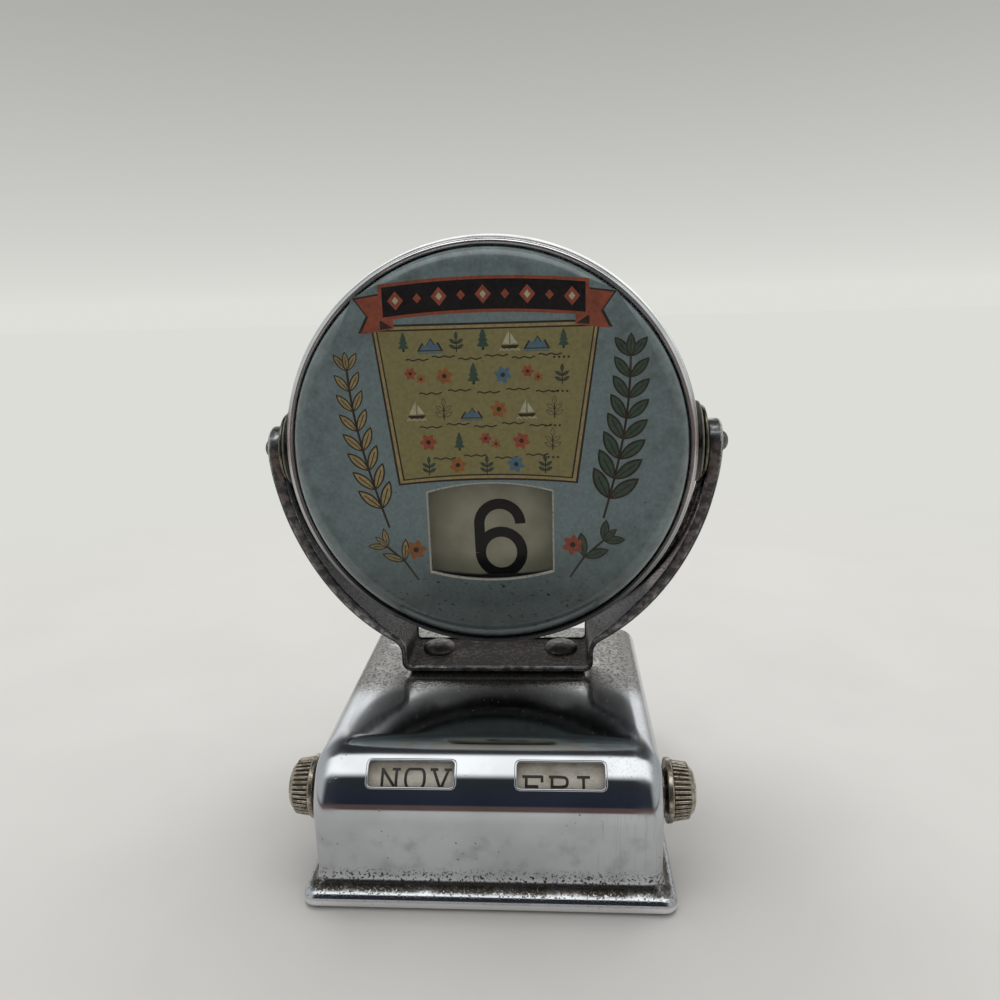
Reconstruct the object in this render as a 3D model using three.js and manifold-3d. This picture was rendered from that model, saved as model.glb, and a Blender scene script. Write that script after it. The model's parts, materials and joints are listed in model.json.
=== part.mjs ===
// Perpetual desk calendar: a printed drum that turns over in a riveted yoke, above a pressed case
// with a month roller and a weekday roller. Millimetres, +X right, +Y back, +Z up.
// The origin is the middle of the case's underside.
import * as THREE from 'three';
import { mergeVertices } from 'three/addons/utils/BufferGeometryUtils.js';
import Module from 'manifold-3d';

const wasm = await Module();
wasm.setup();

// Clearances shared by many pieces
const seatGap = 0.1;
const slidingGap = 0.15;
const fitGap = 0.2;
const runningGap = 0.3;
const cutOverrun = 2.0;

// Case of pressed sheet
const caseWidth = 62.3;
const caseDepth = 62.7;
const frontWallHeight = 16.0;
const caseSheet = 0.8;
const rollRadius = 11.2;
const caseHeight = frontWallHeight + rollRadius;
const shoulderRadius = 3.0;
const cornerRadius = 2.5;
const flangeReach = 2.35;
const lipHeight = 1.5;
const lipRadius = 1.7;
const flareRadius = 3.1;
const hemWidth = 3.2;
const padRise = 0.4;
const padReach = 1.8;
const padSideInset = 1.8;
const padCorner = 1.2;

// Windows in the rolled front edge
const windowWidth = 16.4;
const windowHeight = 5.4;
const windowCorner = 0.8;
const windowSpacing = 26.5;
const windowAngle = THREE.MathUtils.degToRad(45);

// Bottom plate and felt
const plateThickness = 0.8;
const feltThickness = 0.7;

// Rollers, their labels, shafts and knobs
const shaftRadius = 1.5;
const shaftSpacing = 0.6;
const labelClearance = 0.6;
const labelRadius = rollRadius - caseSheet - labelClearance;
const labelThickness = 0.25;
const labelMargin = 0.8;
const drumWall = 0.9;
const drumInnerEnd = 3.2;
const drumSpringGap = 0.95;
const hubRadius = 3.2;
const hubLength = 5.0;
const collarRadius = 3.0;
const collarLength = 1.8;
const knobFlangeRadius = 5.85;
const knobFlangeThickness = 1.1;
const knobFlangeEdge = 0.3;
const knobGripRadius = 5.3;
const knobGripTaper = 0.35;
const knobGripLength = 3.7;
const knobGrooveDepth = 0.45;
const knobCapRadius = 4.6;
const knobDome = 0.8;
const knobFlutes = 26;
const knobBoreDepth = 3.6;

// Wall bushes, friction springs and the centre bearing
const wallBushRadius = 3.1;
const wallBushCollarRadius = 4.3;
const wallBushCollarThickness = 0.9;
const wallBushStakeRadius = 3.9;
const wallBushStakeThickness = 0.8;
const springRadius = 4.6;
const springThickness = 0.3;
const springRise = 0.7;
const bracketThickness = 1.0;
const bracketWidth = 12.0;
const bracketFoot = 10.0;
const bracketHead = 6.0;
const bracketRivetRadius = 1.0;
const bracketRivetHeadRadius = 1.9;
const bracketRivetHeadHeight = 0.8;
const centreBushRadius = 2.5;
const centreBushLength = 4.6;
const centreBushFlangeRadius = 3.6;
const centreBushFlangeThickness = 0.8;

// Yoke strap, its rivets and washers
const strapThickness = 1.0;
const strapLip = 0.25;
const strapFlange = 1.4;
const strapFootHalfWidth = 8.0;
const strapFootBend = 2.2;
const strapShoulderBend = 3.2;
const armClearance = 4.6;
const armDrop = 0.6;
const armStartAngle = THREE.MathUtils.degToRad(29);
const kneeRun = 1.85;
const armHalfWidth = 4.6;
const armTaperLength = 36.0;
const flangeGrowthLength = 14.0;
const footRivetInset = 6.7;
const footRivetBack = 2.4;
const footRivetRadius = 1.3;
const footRivetHeadRadius = 3.6;
const footRivetHeadHeight = 1.5;
const footRivetTailRadius = 2.1;
const footRivetTailHeight = 0.7;
const footWasherRadius = 3.6;
const footWasherThickness = 0.7;

// Pivots
const pivotY = 11.45;
const footClearance = 5.6;
const pivotShankRadius = 1.2;
const pivotHeadRadius = 2.1;
const pivotHeadHeight = 2.0;
const pivotTailRadius = 2.2;
const pivotTailHeight = 0.8;
const pivotSpacerRadius = 2.7;
const cupRadius = 8.2;
const cupThickness = 0.4;
const cupRise = 0.8;
const springWasherRadius = 6.8;
const springWasherThickness = 0.35;
const springWasherRise = 0.6;

// Drum head and its covers
const drumRadius = 41.3;
const drumHalfDepth = 9.06;
const drumSheet = 0.7;
const drumShoulderStart = 3.8;
const drumRimDrop = 1.4;
const rimWidth = 2.15;
const coverSheet = 0.5;
const coverShoulder = 3.25;
const coverRise = 2.5;
const coverShoulderStart = 8.7;
const coverSkirt = 1.9;
const dateWindowHalfWidth = 12.2;
const dateWindowHeight = 16.7;
const dateWindowSill = 4.7;
const dateWindowBulge = 1.1;

// Date tiles and the frames that guide them
const tileCount = 16;
const tileWidth = 28.0;
const tileHeight = 22.0;
const tileThickness = 0.45;
const tilePitch = 0.7;
const tileCornerCut = 1.2;
const frameSheet = 0.6;
const frameEndClearance = 2.53;
const frameWindowMargin = 1.0;

// Facets
const fineSegments = 48;
const mediumSegments = 24;
const smallSegments = 16;
const cornerSteps = 4;
const windowCornerSteps = 2;
const rollSteps = 8;
const flareSteps = 3;
const bendSteps = 5;
const armSteps = 10;
const armEndSteps = 5;
const domeSteps = 3;
const dishSteps = 3;
const bowSteps = 6;
const barrelSteps = 8;

// Places that follow from the sizes above
const rollY = -(caseDepth / 2 - rollRadius);
const rollZ = frontWallHeight;
const rollerDrumRadius = labelRadius - labelThickness - seatGap;
const wallOuter = caseWidth / 2;
const wallInner = wallOuter - caseSheet;
const padTop = caseHeight + padRise;
const strapUnderside = padTop + seatGap;
const strapTop = strapUnderside + strapThickness;
const pivotZ = strapTop + footClearance + drumRadius;
const armRadius = drumRadius + armClearance;
const armInner = armRadius - strapThickness;
const armStartX = armRadius * Math.sin(armStartAngle);
const strapFootCorner = armStartX - kneeRun;
const footRivetX = strapFootCorner - footRivetInset;
const footRivetY = pivotY + footRivetBack;
const flareAngle = Math.acos(1 - flangeReach / (lipRadius + flareRadius));
const flareTop = lipHeight + (lipRadius + flareRadius) * Math.sin(flareAngle);
const rimInnerRadius = drumRadius - rimWidth;
const coverRadius = rimInnerRadius - runningGap;
const coverFlatRadius = coverRadius - coverShoulder;
const coverFace = coverShoulderStart + coverRise;
const frameInside = tileWidth / 2 + runningGap;
const frameOutside = frameInside + frameSheet;
const frameEnd = Math.sqrt(coverFlatRadius ** 2 - frameOutside ** 2) - frameEndClearance;
const wellHalfLength = frameEnd - frameSheet;
const tileBottom = -(wellHalfLength - runningGap);
const dateWindowBottom = tileBottom + dateWindowSill;
const dateWindowTop = dateWindowBottom + dateWindowHeight;
const stackHalfDepth = (tileCount * tilePitch) / 2;

// Turns any closed geometry into a solid whose faces point out
function solid(geometry) {
  const bare = geometry.clone();
  bare.deleteAttribute('normal');
  bare.deleteAttribute('uv');
  const merged = mergeVertices(bare);
  const points = merged.attributes.position.array;
  const index = merged.index.array;
  let faces = [];
  let volume = 0;
  const corner = [new THREE.Vector3(), new THREE.Vector3(), new THREE.Vector3()];
  for (let i = 0; i < index.length; i += 3) {
    const face = [index[i], index[i + 1], index[i + 2]];
    if (new Set(face).size < 3) continue;
    faces.push(...face);
    face.forEach((vertex, k) => corner[k].fromArray(points, vertex * 3));
    volume += corner[0].dot(corner[1].clone().cross(corner[2]));
  }
  if (volume < 0) faces = faces.reverse();
  return new wasm.Manifold(new wasm.Mesh({
    numProp: 3,
    vertProperties: new Float32Array(points),
    triVerts: new Uint32Array(faces),
  }));
}

function surface(body) {
  const mesh = body.getMesh();
  const geometry = new THREE.BufferGeometry();
  geometry.setAttribute('position', new THREE.BufferAttribute(mesh.vertProperties, 3));
  geometry.setIndex(new THREE.BufferAttribute(mesh.triVerts, 1));
  geometry.computeVertexNormals();
  return geometry;
}

// Joins rings of equally many points into a closed body with flat ends
function loft(rings) {
  const count = rings[0].length;
  const points = rings.flat();
  const lastRing = points.length - count;
  const faces = [];
  for (let k = 0; k < lastRing; k += count) {
    for (let i = 0; i < count; i += 1) {
      const next = (i + 1) % count;
      faces.push(k + i, k + next, k + count + next);
      faces.push(k + i, k + count + next, k + count + i);
    }
  }
  for (let i = 1; i < count - 1; i += 1) {
    faces.push(0, i + 1, i);
    faces.push(lastRing, lastRing + i, lastRing + i + 1);
  }
  const geometry = new THREE.BufferGeometry().setFromPoints(points);
  geometry.setIndex(faces);
  return geometry;
}

// Revolves a profile of [radius, distance along the axis] about 'x', 'y' or 'z'
function turned(profile, segments, axis) {
  const points = profile.map(([radius, along]) => new THREE.Vector2(radius, along));
  const geometry = new THREE.LatheGeometry(points, segments);
  if (axis === 'x') geometry.rotateZ(-Math.PI / 2);
  if (axis === 'z') geometry.rotateX(Math.PI / 2);
  return geometry;
}

function rod(radius, start, end, segments, axis) {
  return turned([[0, start], [radius, start], [radius, end], [0, end]], segments, axis);
}

function ringOf(inner, outer, start, end, segments, axis) {
  const profile = [[inner, start], [outer, start], [outer, end], [inner, end], [inner, start]];
  return turned(profile, segments, axis);
}

function box(x0, x1, y0, y1, z0, z1) {
  const geometry = new THREE.BoxGeometry(x1 - x0, y1 - y0, z1 - z0);
  return geometry.translate((x0 + x1) / 2, (y0 + y1) / 2, (z0 + z1) / 2);
}

// Points of a rounded rectangle, anticlockwise
function roundedRectangle(left, right, front, back, radius, steps) {
  const centres = [
    [right - radius, front + radius, -Math.PI / 2],
    [right - radius, back - radius, 0],
    [left + radius, back - radius, Math.PI / 2],
    [left + radius, front + radius, Math.PI],
  ];
  return centres.flatMap(([x, y, start]) => Array.from({ length: steps + 1 }, (_, i) => {
    const angle = start + (i / steps) * (Math.PI / 2);
    return new THREE.Vector2(x + radius * Math.cos(angle), y + radius * Math.sin(angle));
  }));
}

function atHeight(outline, height) {
  return outline.map((point) => new THREE.Vector3(point.x, point.y, height));
}

// A shape drawn in XY and raised along +Z
function raised(outline, bottom, top) {
  const shape = new THREE.Shape(outline);
  const geometry = new THREE.ExtrudeGeometry(shape, { depth: top - bottom, bevelEnabled: false });
  return geometry.translate(0, 0, bottom);
}

// A shape drawn with X and Z, running from one Y to another
function acrossDepth(outline, front, back) {
  const geometry = raised(outline, -back, -front);
  return geometry.rotateX(Math.PI / 2);
}

const mirroredInX = (geometry) => geometry.clone().scale(-1, 1, 1);
const turnedOver = (geometry) => geometry.clone().rotateX(Math.PI);

// Finishes, with the colours that the pieces show
const finishes = {
  chrome: { color: 0xd3d6d9, roughness: 0.14, metalness: 1 },
  satinChrome: { color: 0xc4c5c6, roughness: 0.32, metalness: 1 },
  tarnishedSteel: { color: 0x6f6862, roughness: 0.48, metalness: 0.9 },
  springSteel: { color: 0x4c4e50, roughness: 0.4, metalness: 1 },
  plainSteel: { color: 0x9a9c9d, roughness: 0.38, metalness: 1 },
  nickelBrass: { color: 0x8f8876, roughness: 0.36, metalness: 1 },
  brass: { color: 0xa89355, roughness: 0.36, metalness: 1 },
  printedTin: { color: 0x7d939b, roughness: 0.28, metalness: 0.2 },
  paper: { color: 0xd6d1c4, roughness: 0.9, metalness: 0 },
  tile: { color: 0xdedacb, roughness: 0.55, metalness: 0 },
  drumTin: { color: 0xa9abac, roughness: 0.42, metalness: 1 },
  felt: { color: 0x2f4a3a, roughness: 1, metalness: 0 },
};

const calendar = new THREE.Group();
const head = new THREE.Group();
head.position.set(0, pivotY, pivotZ);
calendar.add(head);

function place(parent, name, body, finish) {
  const mesh = new THREE.Mesh(surface(body), new THREE.MeshStandardMaterial(finishes[finish]));
  mesh.name = name;
  parent.add(mesh);
}

// Case

// How far a quarter round has drawn in at a height, for a round that ends at the top
function roundDrop(radius, top, height) {
  const up = Math.max(0, height - (top - radius));
  return radius - Math.sqrt(Math.max(0, radius ** 2 - up ** 2));
}

// One level of the case, drawn in from the outside by inset
function caseRing(height, inset) {
  const top = caseHeight - inset;
  const side = wallOuter - inset - roundDrop(shoulderRadius - inset, top, height);
  const back = caseDepth / 2 - inset - roundDrop(shoulderRadius - inset, top, height);
  const front = -(caseDepth / 2 - inset - roundDrop(rollRadius - inset, top, height));
  const outline = roundedRectangle(-side, side, front, back, cornerRadius - inset, cornerSteps);
  return atHeight(outline, height);
}

// One level of the skirt, spread outwards by offset
function skirtRing(height, offset) {
  const side = wallOuter + offset;
  const end = caseDepth / 2 + offset;
  return atHeight(roundedRectangle(-side, side, -end, end, cornerRadius + Math.min(offset, 0), cornerSteps), height);
}

// The lip rolls over and runs up into the wall in one S
function flareRings(inset) {
  const lip = lipRadius - inset;
  const hollow = flareRadius + inset;
  const rings = [];
  for (let i = 0; i <= flareSteps; i += 1) {
    const angle = (i / flareSteps) * flareAngle;
    rings.push(skirtRing(lipHeight + lip * Math.sin(angle), flangeReach - lipRadius + lip * Math.cos(angle)));
  }
  for (let i = flareSteps - 1; i >= 0; i -= 1) {
    const angle = (i / flareSteps) * flareAngle;
    rings.push(skirtRing(flareTop - hollow * Math.sin(angle), flareRadius - hollow * Math.cos(angle)));
  }
  return rings;
}

function upperRings(inset) {
  return Array.from({ length: rollSteps + 1 }, (_, i) => {
    const angle = (i / rollSteps) * (Math.PI / 2);
    return caseRing(rollZ + (rollRadius - inset) * Math.sin(angle), inset);
  });
}

function caseOutside() {
  return loft([
    skirtRing(0, flangeReach),
    ...flareRings(0),
    ...upperRings(0),
  ]);
}

function caseInside() {
  return loft([
    skirtRing(caseSheet, flangeReach - caseSheet),
    ...flareRings(caseSheet),
    ...upperRings(caseSheet),
  ]);
}

function hemOpening(gap) {
  const offset = flangeReach - hemWidth - gap;
  const side = wallOuter + offset;
  const end = caseDepth / 2 + offset;
  return roundedRectangle(-side, side, -end, end, cornerRadius, cornerSteps);
}

// A window through the rolled edge, cut square to the sheet
function caseWindow(centreX) {
  const halfWidth = windowWidth / 2;
  const halfHeight = windowHeight / 2;
  const outline = roundedRectangle(-halfWidth, halfWidth, -halfHeight, halfHeight, windowCorner, windowCornerSteps);
  const cutter = raised(outline, rollRadius - cutOverrun, rollRadius + cutOverrun);
  cutter.rotateX(Math.PI / 2 - windowAngle);
  return cutter.translate(centreX, rollY, rollZ);
}

function baseShell() {
  let body = solid(caseOutside());
  const padHalfWidth = strapFootCorner - padSideInset;
  const padFront = pivotY - strapFootHalfWidth - padReach;
  const padBack = pivotY + strapFootHalfWidth + padReach;
  const padOutline = roundedRectangle(-padHalfWidth, padHalfWidth, padFront, padBack, padCorner, windowCornerSteps);
  body = body.add(solid(raised(padOutline, caseHeight - caseSheet / 2, padTop)));
  body = body.subtract(solid(caseInside()));
  body = body.subtract(solid(raised(hemOpening(0), -cutOverrun, caseSheet + seatGap)));
  for (const side of [-1, 1]) {
    body = body.subtract(solid(caseWindow((side * windowSpacing) / 2)));
    const bore = rod(footRivetRadius + fitGap, caseHeight - cutOverrun, padTop + cutOverrun, smallSegments, 'z');
    body = body.subtract(solid(bore.translate(side * footRivetX, footRivetY, 0)));
  }
  const reach = wallOuter + cutOverrun;
  const bushBore = rod(wallBushRadius + fitGap, wallInner - cutOverrun, reach, smallSegments, 'x');
  bushBore.translate(0, rollY, rollZ);
  body = body.subtract(solid(bushBore));
  return body.subtract(solid(mirroredInX(bushBore)));
}

function bottomPlate() {
  const offset = flangeReach - caseSheet - fitGap;
  const side = wallOuter + offset;
  const end = caseDepth / 2 + offset;
  const outline = roundedRectangle(-side, side, -end, end, cornerRadius + offset, cornerSteps);
  const bottom = caseSheet + seatGap;
  let body = solid(raised(outline, bottom, bottom + plateThickness));
  for (const [x, y] of bracketRivetPlaces()) {
    const bore = rod(bracketRivetRadius + fitGap, 0, bottom + cutOverrun, smallSegments, 'z');
    body = body.subtract(solid(bore.translate(x, y, 0)));
  }
  return body;
}

const plateTop = caseSheet + seatGap + plateThickness;

function feltPad() {
  return solid(raised(hemOpening(fitGap), 0, feltThickness));
}

place(calendar, 'base_shell', baseShell(), 'chrome');
place(calendar, 'bottom_plate', bottomPlate(), 'plainSteel');
place(calendar, 'felt_pad', feltPad(), 'felt');

// Centre bearing, which stands on the bottom plate

function bracketRivetPlaces() {
  const x = (bracketThickness / 2 + bracketFoot) / 2 + bracketThickness;
  return [-1, 1].map((side) => [x, rollY + (side * bracketWidth) / 4]);
}

function centreBracket() {
  const half = bracketThickness / 2;
  const bottom = plateTop + seatGap;
  const top = rollZ + bracketHead;
  const outline = [
    [-half, bottom],
    [bracketFoot, bottom],
    [bracketFoot, bottom + bracketThickness],
    [half, bottom + bracketThickness],
    [half, top],
    [-half, top],
  ].map(([x, z]) => new THREE.Vector2(x, z));
  let body = solid(acrossDepth(outline, rollY - bracketWidth / 2, rollY + bracketWidth / 2));
  const bore = rod(centreBushRadius + fitGap, -cutOverrun, cutOverrun, smallSegments, 'x');
  body = body.subtract(solid(bore.translate(0, rollY, rollZ)));
  for (const [x, y] of bracketRivetPlaces()) {
    const hole = rod(bracketRivetRadius + fitGap, 0, bottom + cutOverrun, smallSegments, 'z');
    body = body.subtract(solid(hole.translate(x, y, 0)));
  }
  return body;
}

function centreBush() {
  const bore = shaftRadius + fitGap;
  const half = centreBushLength / 2;
  const flangeStart = bracketThickness / 2 + seatGap;
  const flangeEnd = flangeStart + centreBushFlangeThickness;
  const profile = [
    [bore, -half],
    [centreBushRadius, -half],
    [centreBushRadius, flangeStart],
    [centreBushFlangeRadius, flangeStart],
    [centreBushFlangeRadius, flangeEnd],
    [centreBushRadius, flangeEnd],
    [centreBushRadius, half],
    [bore, half],
    [bore, -half],
  ];
  return solid(turned(profile, smallSegments, 'x').translate(0, rollY, rollZ));
}

function bracketRivet([x, y]) {
  const low = feltThickness + seatGap / 2;
  const shoulder = plateTop + seatGap + bracketThickness + seatGap;
  const profile = [
    [0, low],
    [bracketRivetRadius, low],
    [bracketRivetRadius, shoulder],
    [bracketRivetHeadRadius, shoulder],
    ...domeProfile(bracketRivetHeadRadius, shoulder, bracketRivetHeadHeight),
  ];
  return solid(turned(profile, smallSegments, 'z').translate(x, y, 0));
}

// The round top of a rivet or a cap, from its rim to its pole
function domeProfile(radius, start, height) {
  return Array.from({ length: domeSteps }, (_, i) => {
    const angle = ((i + 1) / domeSteps) * (Math.PI / 2);
    const onAxis = i + 1 === domeSteps;
    return [onAxis ? 0 : radius * Math.cos(angle), start + height * Math.sin(angle)];
  });
}

place(calendar, 'center_bracket', centreBracket(), 'plainSteel');
place(calendar, 'center_bush', centreBush(), 'brass');
bracketRivetPlaces().forEach((spot, i) => {
  place(calendar, `bracket_rivet_${i + 1}`, bracketRivet(spot), 'plainSteel');
});

// Rollers: every piece is made for the right side, and mirrored for the left

const collarStart = centreBushLength / 2 + runningGap;
const wallBushInnerEnd = wallInner - seatGap - wallBushStakeThickness;
const wallBushOuterEnd = wallOuter + seatGap + wallBushCollarThickness;
const knobStart = wallBushOuterEnd + runningGap;
const knobGripStart = knobStart + knobFlangeThickness;
const knobGripEnd = knobGripStart + knobGripLength;
const knobBoreEnd = knobStart + knobBoreDepth;
const springInnerEnd = wallBushInnerEnd - runningGap - springThickness - springRise;
const drumOuterEnd = springInnerEnd - drumSpringGap;

function rollerDrum() {
  const bore = shaftRadius + seatGap;
  const inside = rollerDrumRadius - drumWall;
  const profile = [
    [bore, drumOuterEnd],
    [rollerDrumRadius, drumOuterEnd],
    [rollerDrumRadius, drumInnerEnd],
    [inside, drumInnerEnd],
    [inside, drumOuterEnd - drumWall],
    [hubRadius, drumOuterEnd - drumWall],
    [hubRadius, drumOuterEnd - hubLength],
    [bore, drumOuterEnd - hubLength],
    [bore, drumOuterEnd],
  ];
  return turned(profile, mediumSegments, 'x');
}

function rollerLabel() {
  const start = drumInnerEnd + labelMargin;
  const end = drumOuterEnd - labelMargin;
  return ringOf(labelRadius - labelThickness, labelRadius, start, end, mediumSegments, 'x');
}

function rollerShaft() {
  return rod(shaftRadius, shaftSpacing / 2, knobBoreEnd - fitGap, smallSegments, 'x');
}

function shaftCollar() {
  return ringOf(shaftRadius + seatGap, collarRadius, collarStart, collarStart + collarLength, smallSegments, 'x');
}

function wallBush() {
  const bore = shaftRadius + fitGap;
  const stakeEnd = wallInner - seatGap;
  const collarFace = wallOuter + seatGap;
  const profile = [
    [bore, wallBushInnerEnd],
    [wallBushStakeRadius, wallBushInnerEnd],
    [wallBushStakeRadius, stakeEnd],
    [wallBushRadius, stakeEnd],
    [wallBushRadius, collarFace],
    [wallBushCollarRadius, collarFace],
    [wallBushCollarRadius, wallBushOuterEnd],
    [bore, wallBushOuterEnd],
    [bore, wallBushInnerEnd],
  ];
  return turned(profile, smallSegments, 'x');
}

// A dished spring between the end of the drum and the wall bush
function frictionSpring() {
  const bore = shaftRadius + fitGap;
  const profile = [
    [bore, springInnerEnd + springRise],
    [springRadius, springInnerEnd],
    [springRadius, springInnerEnd + springThickness],
    [bore, springInnerEnd + springRise + springThickness],
    [bore, springInnerEnd + springRise],
  ];
  return turned(profile, smallSegments, 'x');
}

// A ring of the knob's grip, alternately full and cut in by the depth of a groove
function gripRing(along, radius, depth) {
  return Array.from({ length: knobFlutes * 2 }, (_, i) => {
    const angle = (i / (knobFlutes * 2)) * Math.PI * 2;
    const r = radius - (i % 2 ? depth : 0);
    return new THREE.Vector3(along, r * Math.cos(angle), r * Math.sin(angle));
  });
}

function knob() {
  const flangeTop = knobGripStart - knobFlangeEdge;
  const flange = [
    [0, knobStart],
    [knobFlangeRadius - knobFlangeEdge, knobStart],
    [knobFlangeRadius, knobStart + knobFlangeEdge],
    [knobFlangeRadius, flangeTop],
    [knobFlangeRadius - knobFlangeEdge, knobGripStart],
    [0, knobGripStart],
  ];
  const gripTop = knobGripRadius - knobGripTaper;
  const grip = loft([
    gripRing(knobGripStart - knobFlangeEdge, knobGripRadius, knobGrooveDepth),
    gripRing(knobGripEnd - knobFlangeEdge, gripTop, knobGrooveDepth),
    gripRing(knobGripEnd, gripTop - knobFlangeEdge, knobGrooveDepth / 2),
  ]);
  const cap = [
    [0, knobGripEnd - knobFlangeEdge],
    [knobCapRadius, knobGripEnd - knobFlangeEdge],
    [knobCapRadius, knobGripEnd],
    ...domeProfile(knobCapRadius, knobGripEnd, knobDome),
  ];
  let body = solid(turned(flange, mediumSegments, 'x')).add(solid(grip));
  body = body.add(solid(turned(cap, mediumSegments, 'x')));
  const bore = rod(shaftRadius + seatGap, knobStart - cutOverrun, knobBoreEnd, smallSegments, 'x');
  return surface(body.subtract(solid(bore)));
}

const rollerPieces = [
  ['drum', rollerDrum(), 'drumTin'],
  ['label', rollerLabel(), 'paper'],
  ['shaft', rollerShaft(), 'plainSteel'],
  ['shaft_collar', shaftCollar(), 'brass'],
  ['knob', knob(), 'nickelBrass'],
  ['wall_bush', wallBush(), 'nickelBrass'],
  ['friction_spring', frictionSpring(), 'springSteel'],
];

for (const [piece, geometry, finish] of rollerPieces) {
  const right = geometry.clone().translate(0, rollY, rollZ);
  place(calendar, `weekday_${piece}`, solid(right), finish);
  place(calendar, `month_${piece}`, solid(mirroredInX(right)), finish);
}

// Yoke

// Points along an arc in the XZ plane, from one angle to another
function arcPoints(centre, radius, from, to, steps) {
  return Array.from({ length: steps + 1 }, (_, i) => {
    const angle = from + ((to - from) * i) / steps;
    return new THREE.Vector2(centre.x + radius * Math.cos(angle), centre.y + radius * Math.sin(angle));
  });
}

// The outer face of the right half of the strap, seen from the front: foot, two bends, arm
function strapHalf() {
  const arm = new THREE.Vector2(0, pivotZ - armDrop);
  const armStartZ = arm.y - armRadius * Math.cos(armStartAngle);
  const kneeZ = armStartZ - kneeRun * Math.tan(armStartAngle);
  const turn = Math.PI / 2 - armStartAngle;
  const kneeLength = strapShoulderBend * Math.tan(turn / 2);
  const footBend = new THREE.Vector2(strapFootCorner - strapFootBend, strapUnderside + strapFootBend);
  const kneeBend = new THREE.Vector2(strapFootCorner + strapShoulderBend, kneeZ - kneeLength);
  return [
    ...arcPoints(footBend, strapFootBend, -Math.PI / 2, 0, bendSteps),
    ...arcPoints(kneeBend, strapShoulderBend, Math.PI, Math.PI - turn, bendSteps),
    ...arcPoints(arm, armRadius, armStartAngle - Math.PI / 2, 0, armSteps),
    new THREE.Vector2(armRadius, pivotZ),
  ];
}

// Stations of the half strap: place, inward normal, half width and how high its edges stand
function strapStations(inset) {
  const path = strapHalf();
  const foot = bendSteps + 1;
  const stations = [];
  let run = 0;
  path.forEach((point, i) => {
    const before = path[Math.max(0, i - 1)];
    const after = path[Math.min(path.length - 1, i + 1)];
    const along = after.clone().sub(before).normalize();
    if (i === 0) along.set(1, 0);
    if (i === path.length - 1) along.set(0, 1);
    if (i > foot) run += point.distanceTo(before);
    const eased = THREE.MathUtils.smoothstep(run, 0, flangeGrowthLength);
    const taper = THREE.MathUtils.smoothstep(run, 0, armTaperLength);
    const width = strapFootHalfWidth + (armHalfWidth - strapFootHalfWidth) * taper;
    stations.push({
      point,
      normal: new THREE.Vector2(-along.y, along.x),
      half: width - inset,
      edge: strapLip + (strapFlange - strapLip) * eased,
    });
  });
  const last = stations[stations.length - 1];
  for (let i = 1; i <= armEndSteps; i += 1) {
    const angle = (i / (armEndSteps + 1)) * (Math.PI / 2);
    stations.push({
      ...last,
      point: new THREE.Vector2(last.point.x, pivotZ + last.half * Math.sin(angle)),
      half: last.half * Math.cos(angle),
    });
  }
  return stations;
}

function strapRing(station, low, high, mirror) {
  const corners = [[-1, low], [1, low], [1, high], [-1, high]];
  return corners.map(([side, rise]) => new THREE.Vector3(
    mirror * (station.point.x + station.normal.x * rise),
    pivotY + side * station.half,
    station.point.y + station.normal.y * rise,
  ));
}

function strapLoft(inset, low, highOf) {
  const stations = strapStations(inset);
  const right = stations.map((station) => strapRing(station, low, highOf(station), 1));
  const left = stations.map((station) => strapRing(station, low, highOf(station), -1)).reverse();
  return solid(loft([...left, ...right]));
}

function yoke() {
  const outside = strapLoft(0, 0, (station) => strapThickness + station.edge);
  const trough = strapLoft(
    strapThickness,
    strapThickness,
    (station) => strapThickness + station.edge + strapFootBend / 4,
  );
  let body = outside.subtract(trough);
  const shankRadius = pivotShankRadius + fitGap;
  const armBore = rod(shankRadius, armInner - cutOverrun, armRadius + cutOverrun, smallSegments, 'x');
  armBore.translate(0, pivotY, pivotZ);
  body = body.subtract(solid(armBore)).subtract(solid(mirroredInX(armBore)));
  for (const side of [-1, 1]) {
    const bore = rod(footRivetRadius + fitGap, padTop - cutOverrun, padTop + cutOverrun, smallSegments, 'z');
    body = body.subtract(solid(bore.translate(side * footRivetX, footRivetY, 0)));
  }
  return body;
}

const footWasherTop = caseHeight - caseSheet - seatGap;
const footWasherBottom = footWasherTop - footWasherThickness;

function footRivet(side) {
  const tailTop = footWasherBottom - seatGap;
  const shoulder = strapTop + seatGap;
  const profile = [
    [0, tailTop - footRivetTailHeight],
    [footRivetTailRadius, tailTop - footRivetTailHeight],
    [footRivetTailRadius, tailTop],
    [footRivetRadius, tailTop],
    [footRivetRadius, shoulder],
    [footRivetHeadRadius, shoulder],
    ...domeProfile(footRivetHeadRadius, shoulder, footRivetHeadHeight),
  ];
  return solid(turned(profile, smallSegments, 'z').translate(side * footRivetX, footRivetY, 0));
}

function footWasher(side) {
  const inner = footRivetRadius + fitGap;
  const washer = ringOf(inner, footWasherRadius, footWasherBottom, footWasherTop, smallSegments, 'z');
  return solid(washer.translate(side * footRivetX, footRivetY, 0));
}

place(calendar, 'yoke', yoke(), 'tarnishedSteel');
for (const [name, side] of [['left', -1], ['right', 1]]) {
  place(calendar, `foot_rivet_${name}`, footRivet(side), 'tarnishedSteel');
  place(calendar, `foot_washer_${name}`, footWasher(side), 'plainSteel');
}

// Pivots, made for the right side

const pivotBore = pivotShankRadius + fitGap;
const cupStart = drumRadius + fitGap;
const cupRiseAtWasher = cupRise * (1 - (springWasherRadius / cupRadius) ** 2);
const springWasherStart = cupStart + cupRiseAtWasher + cupThickness + slidingGap;
const springWasherEnd = springWasherStart + springWasherRise + springWasherThickness;

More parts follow.
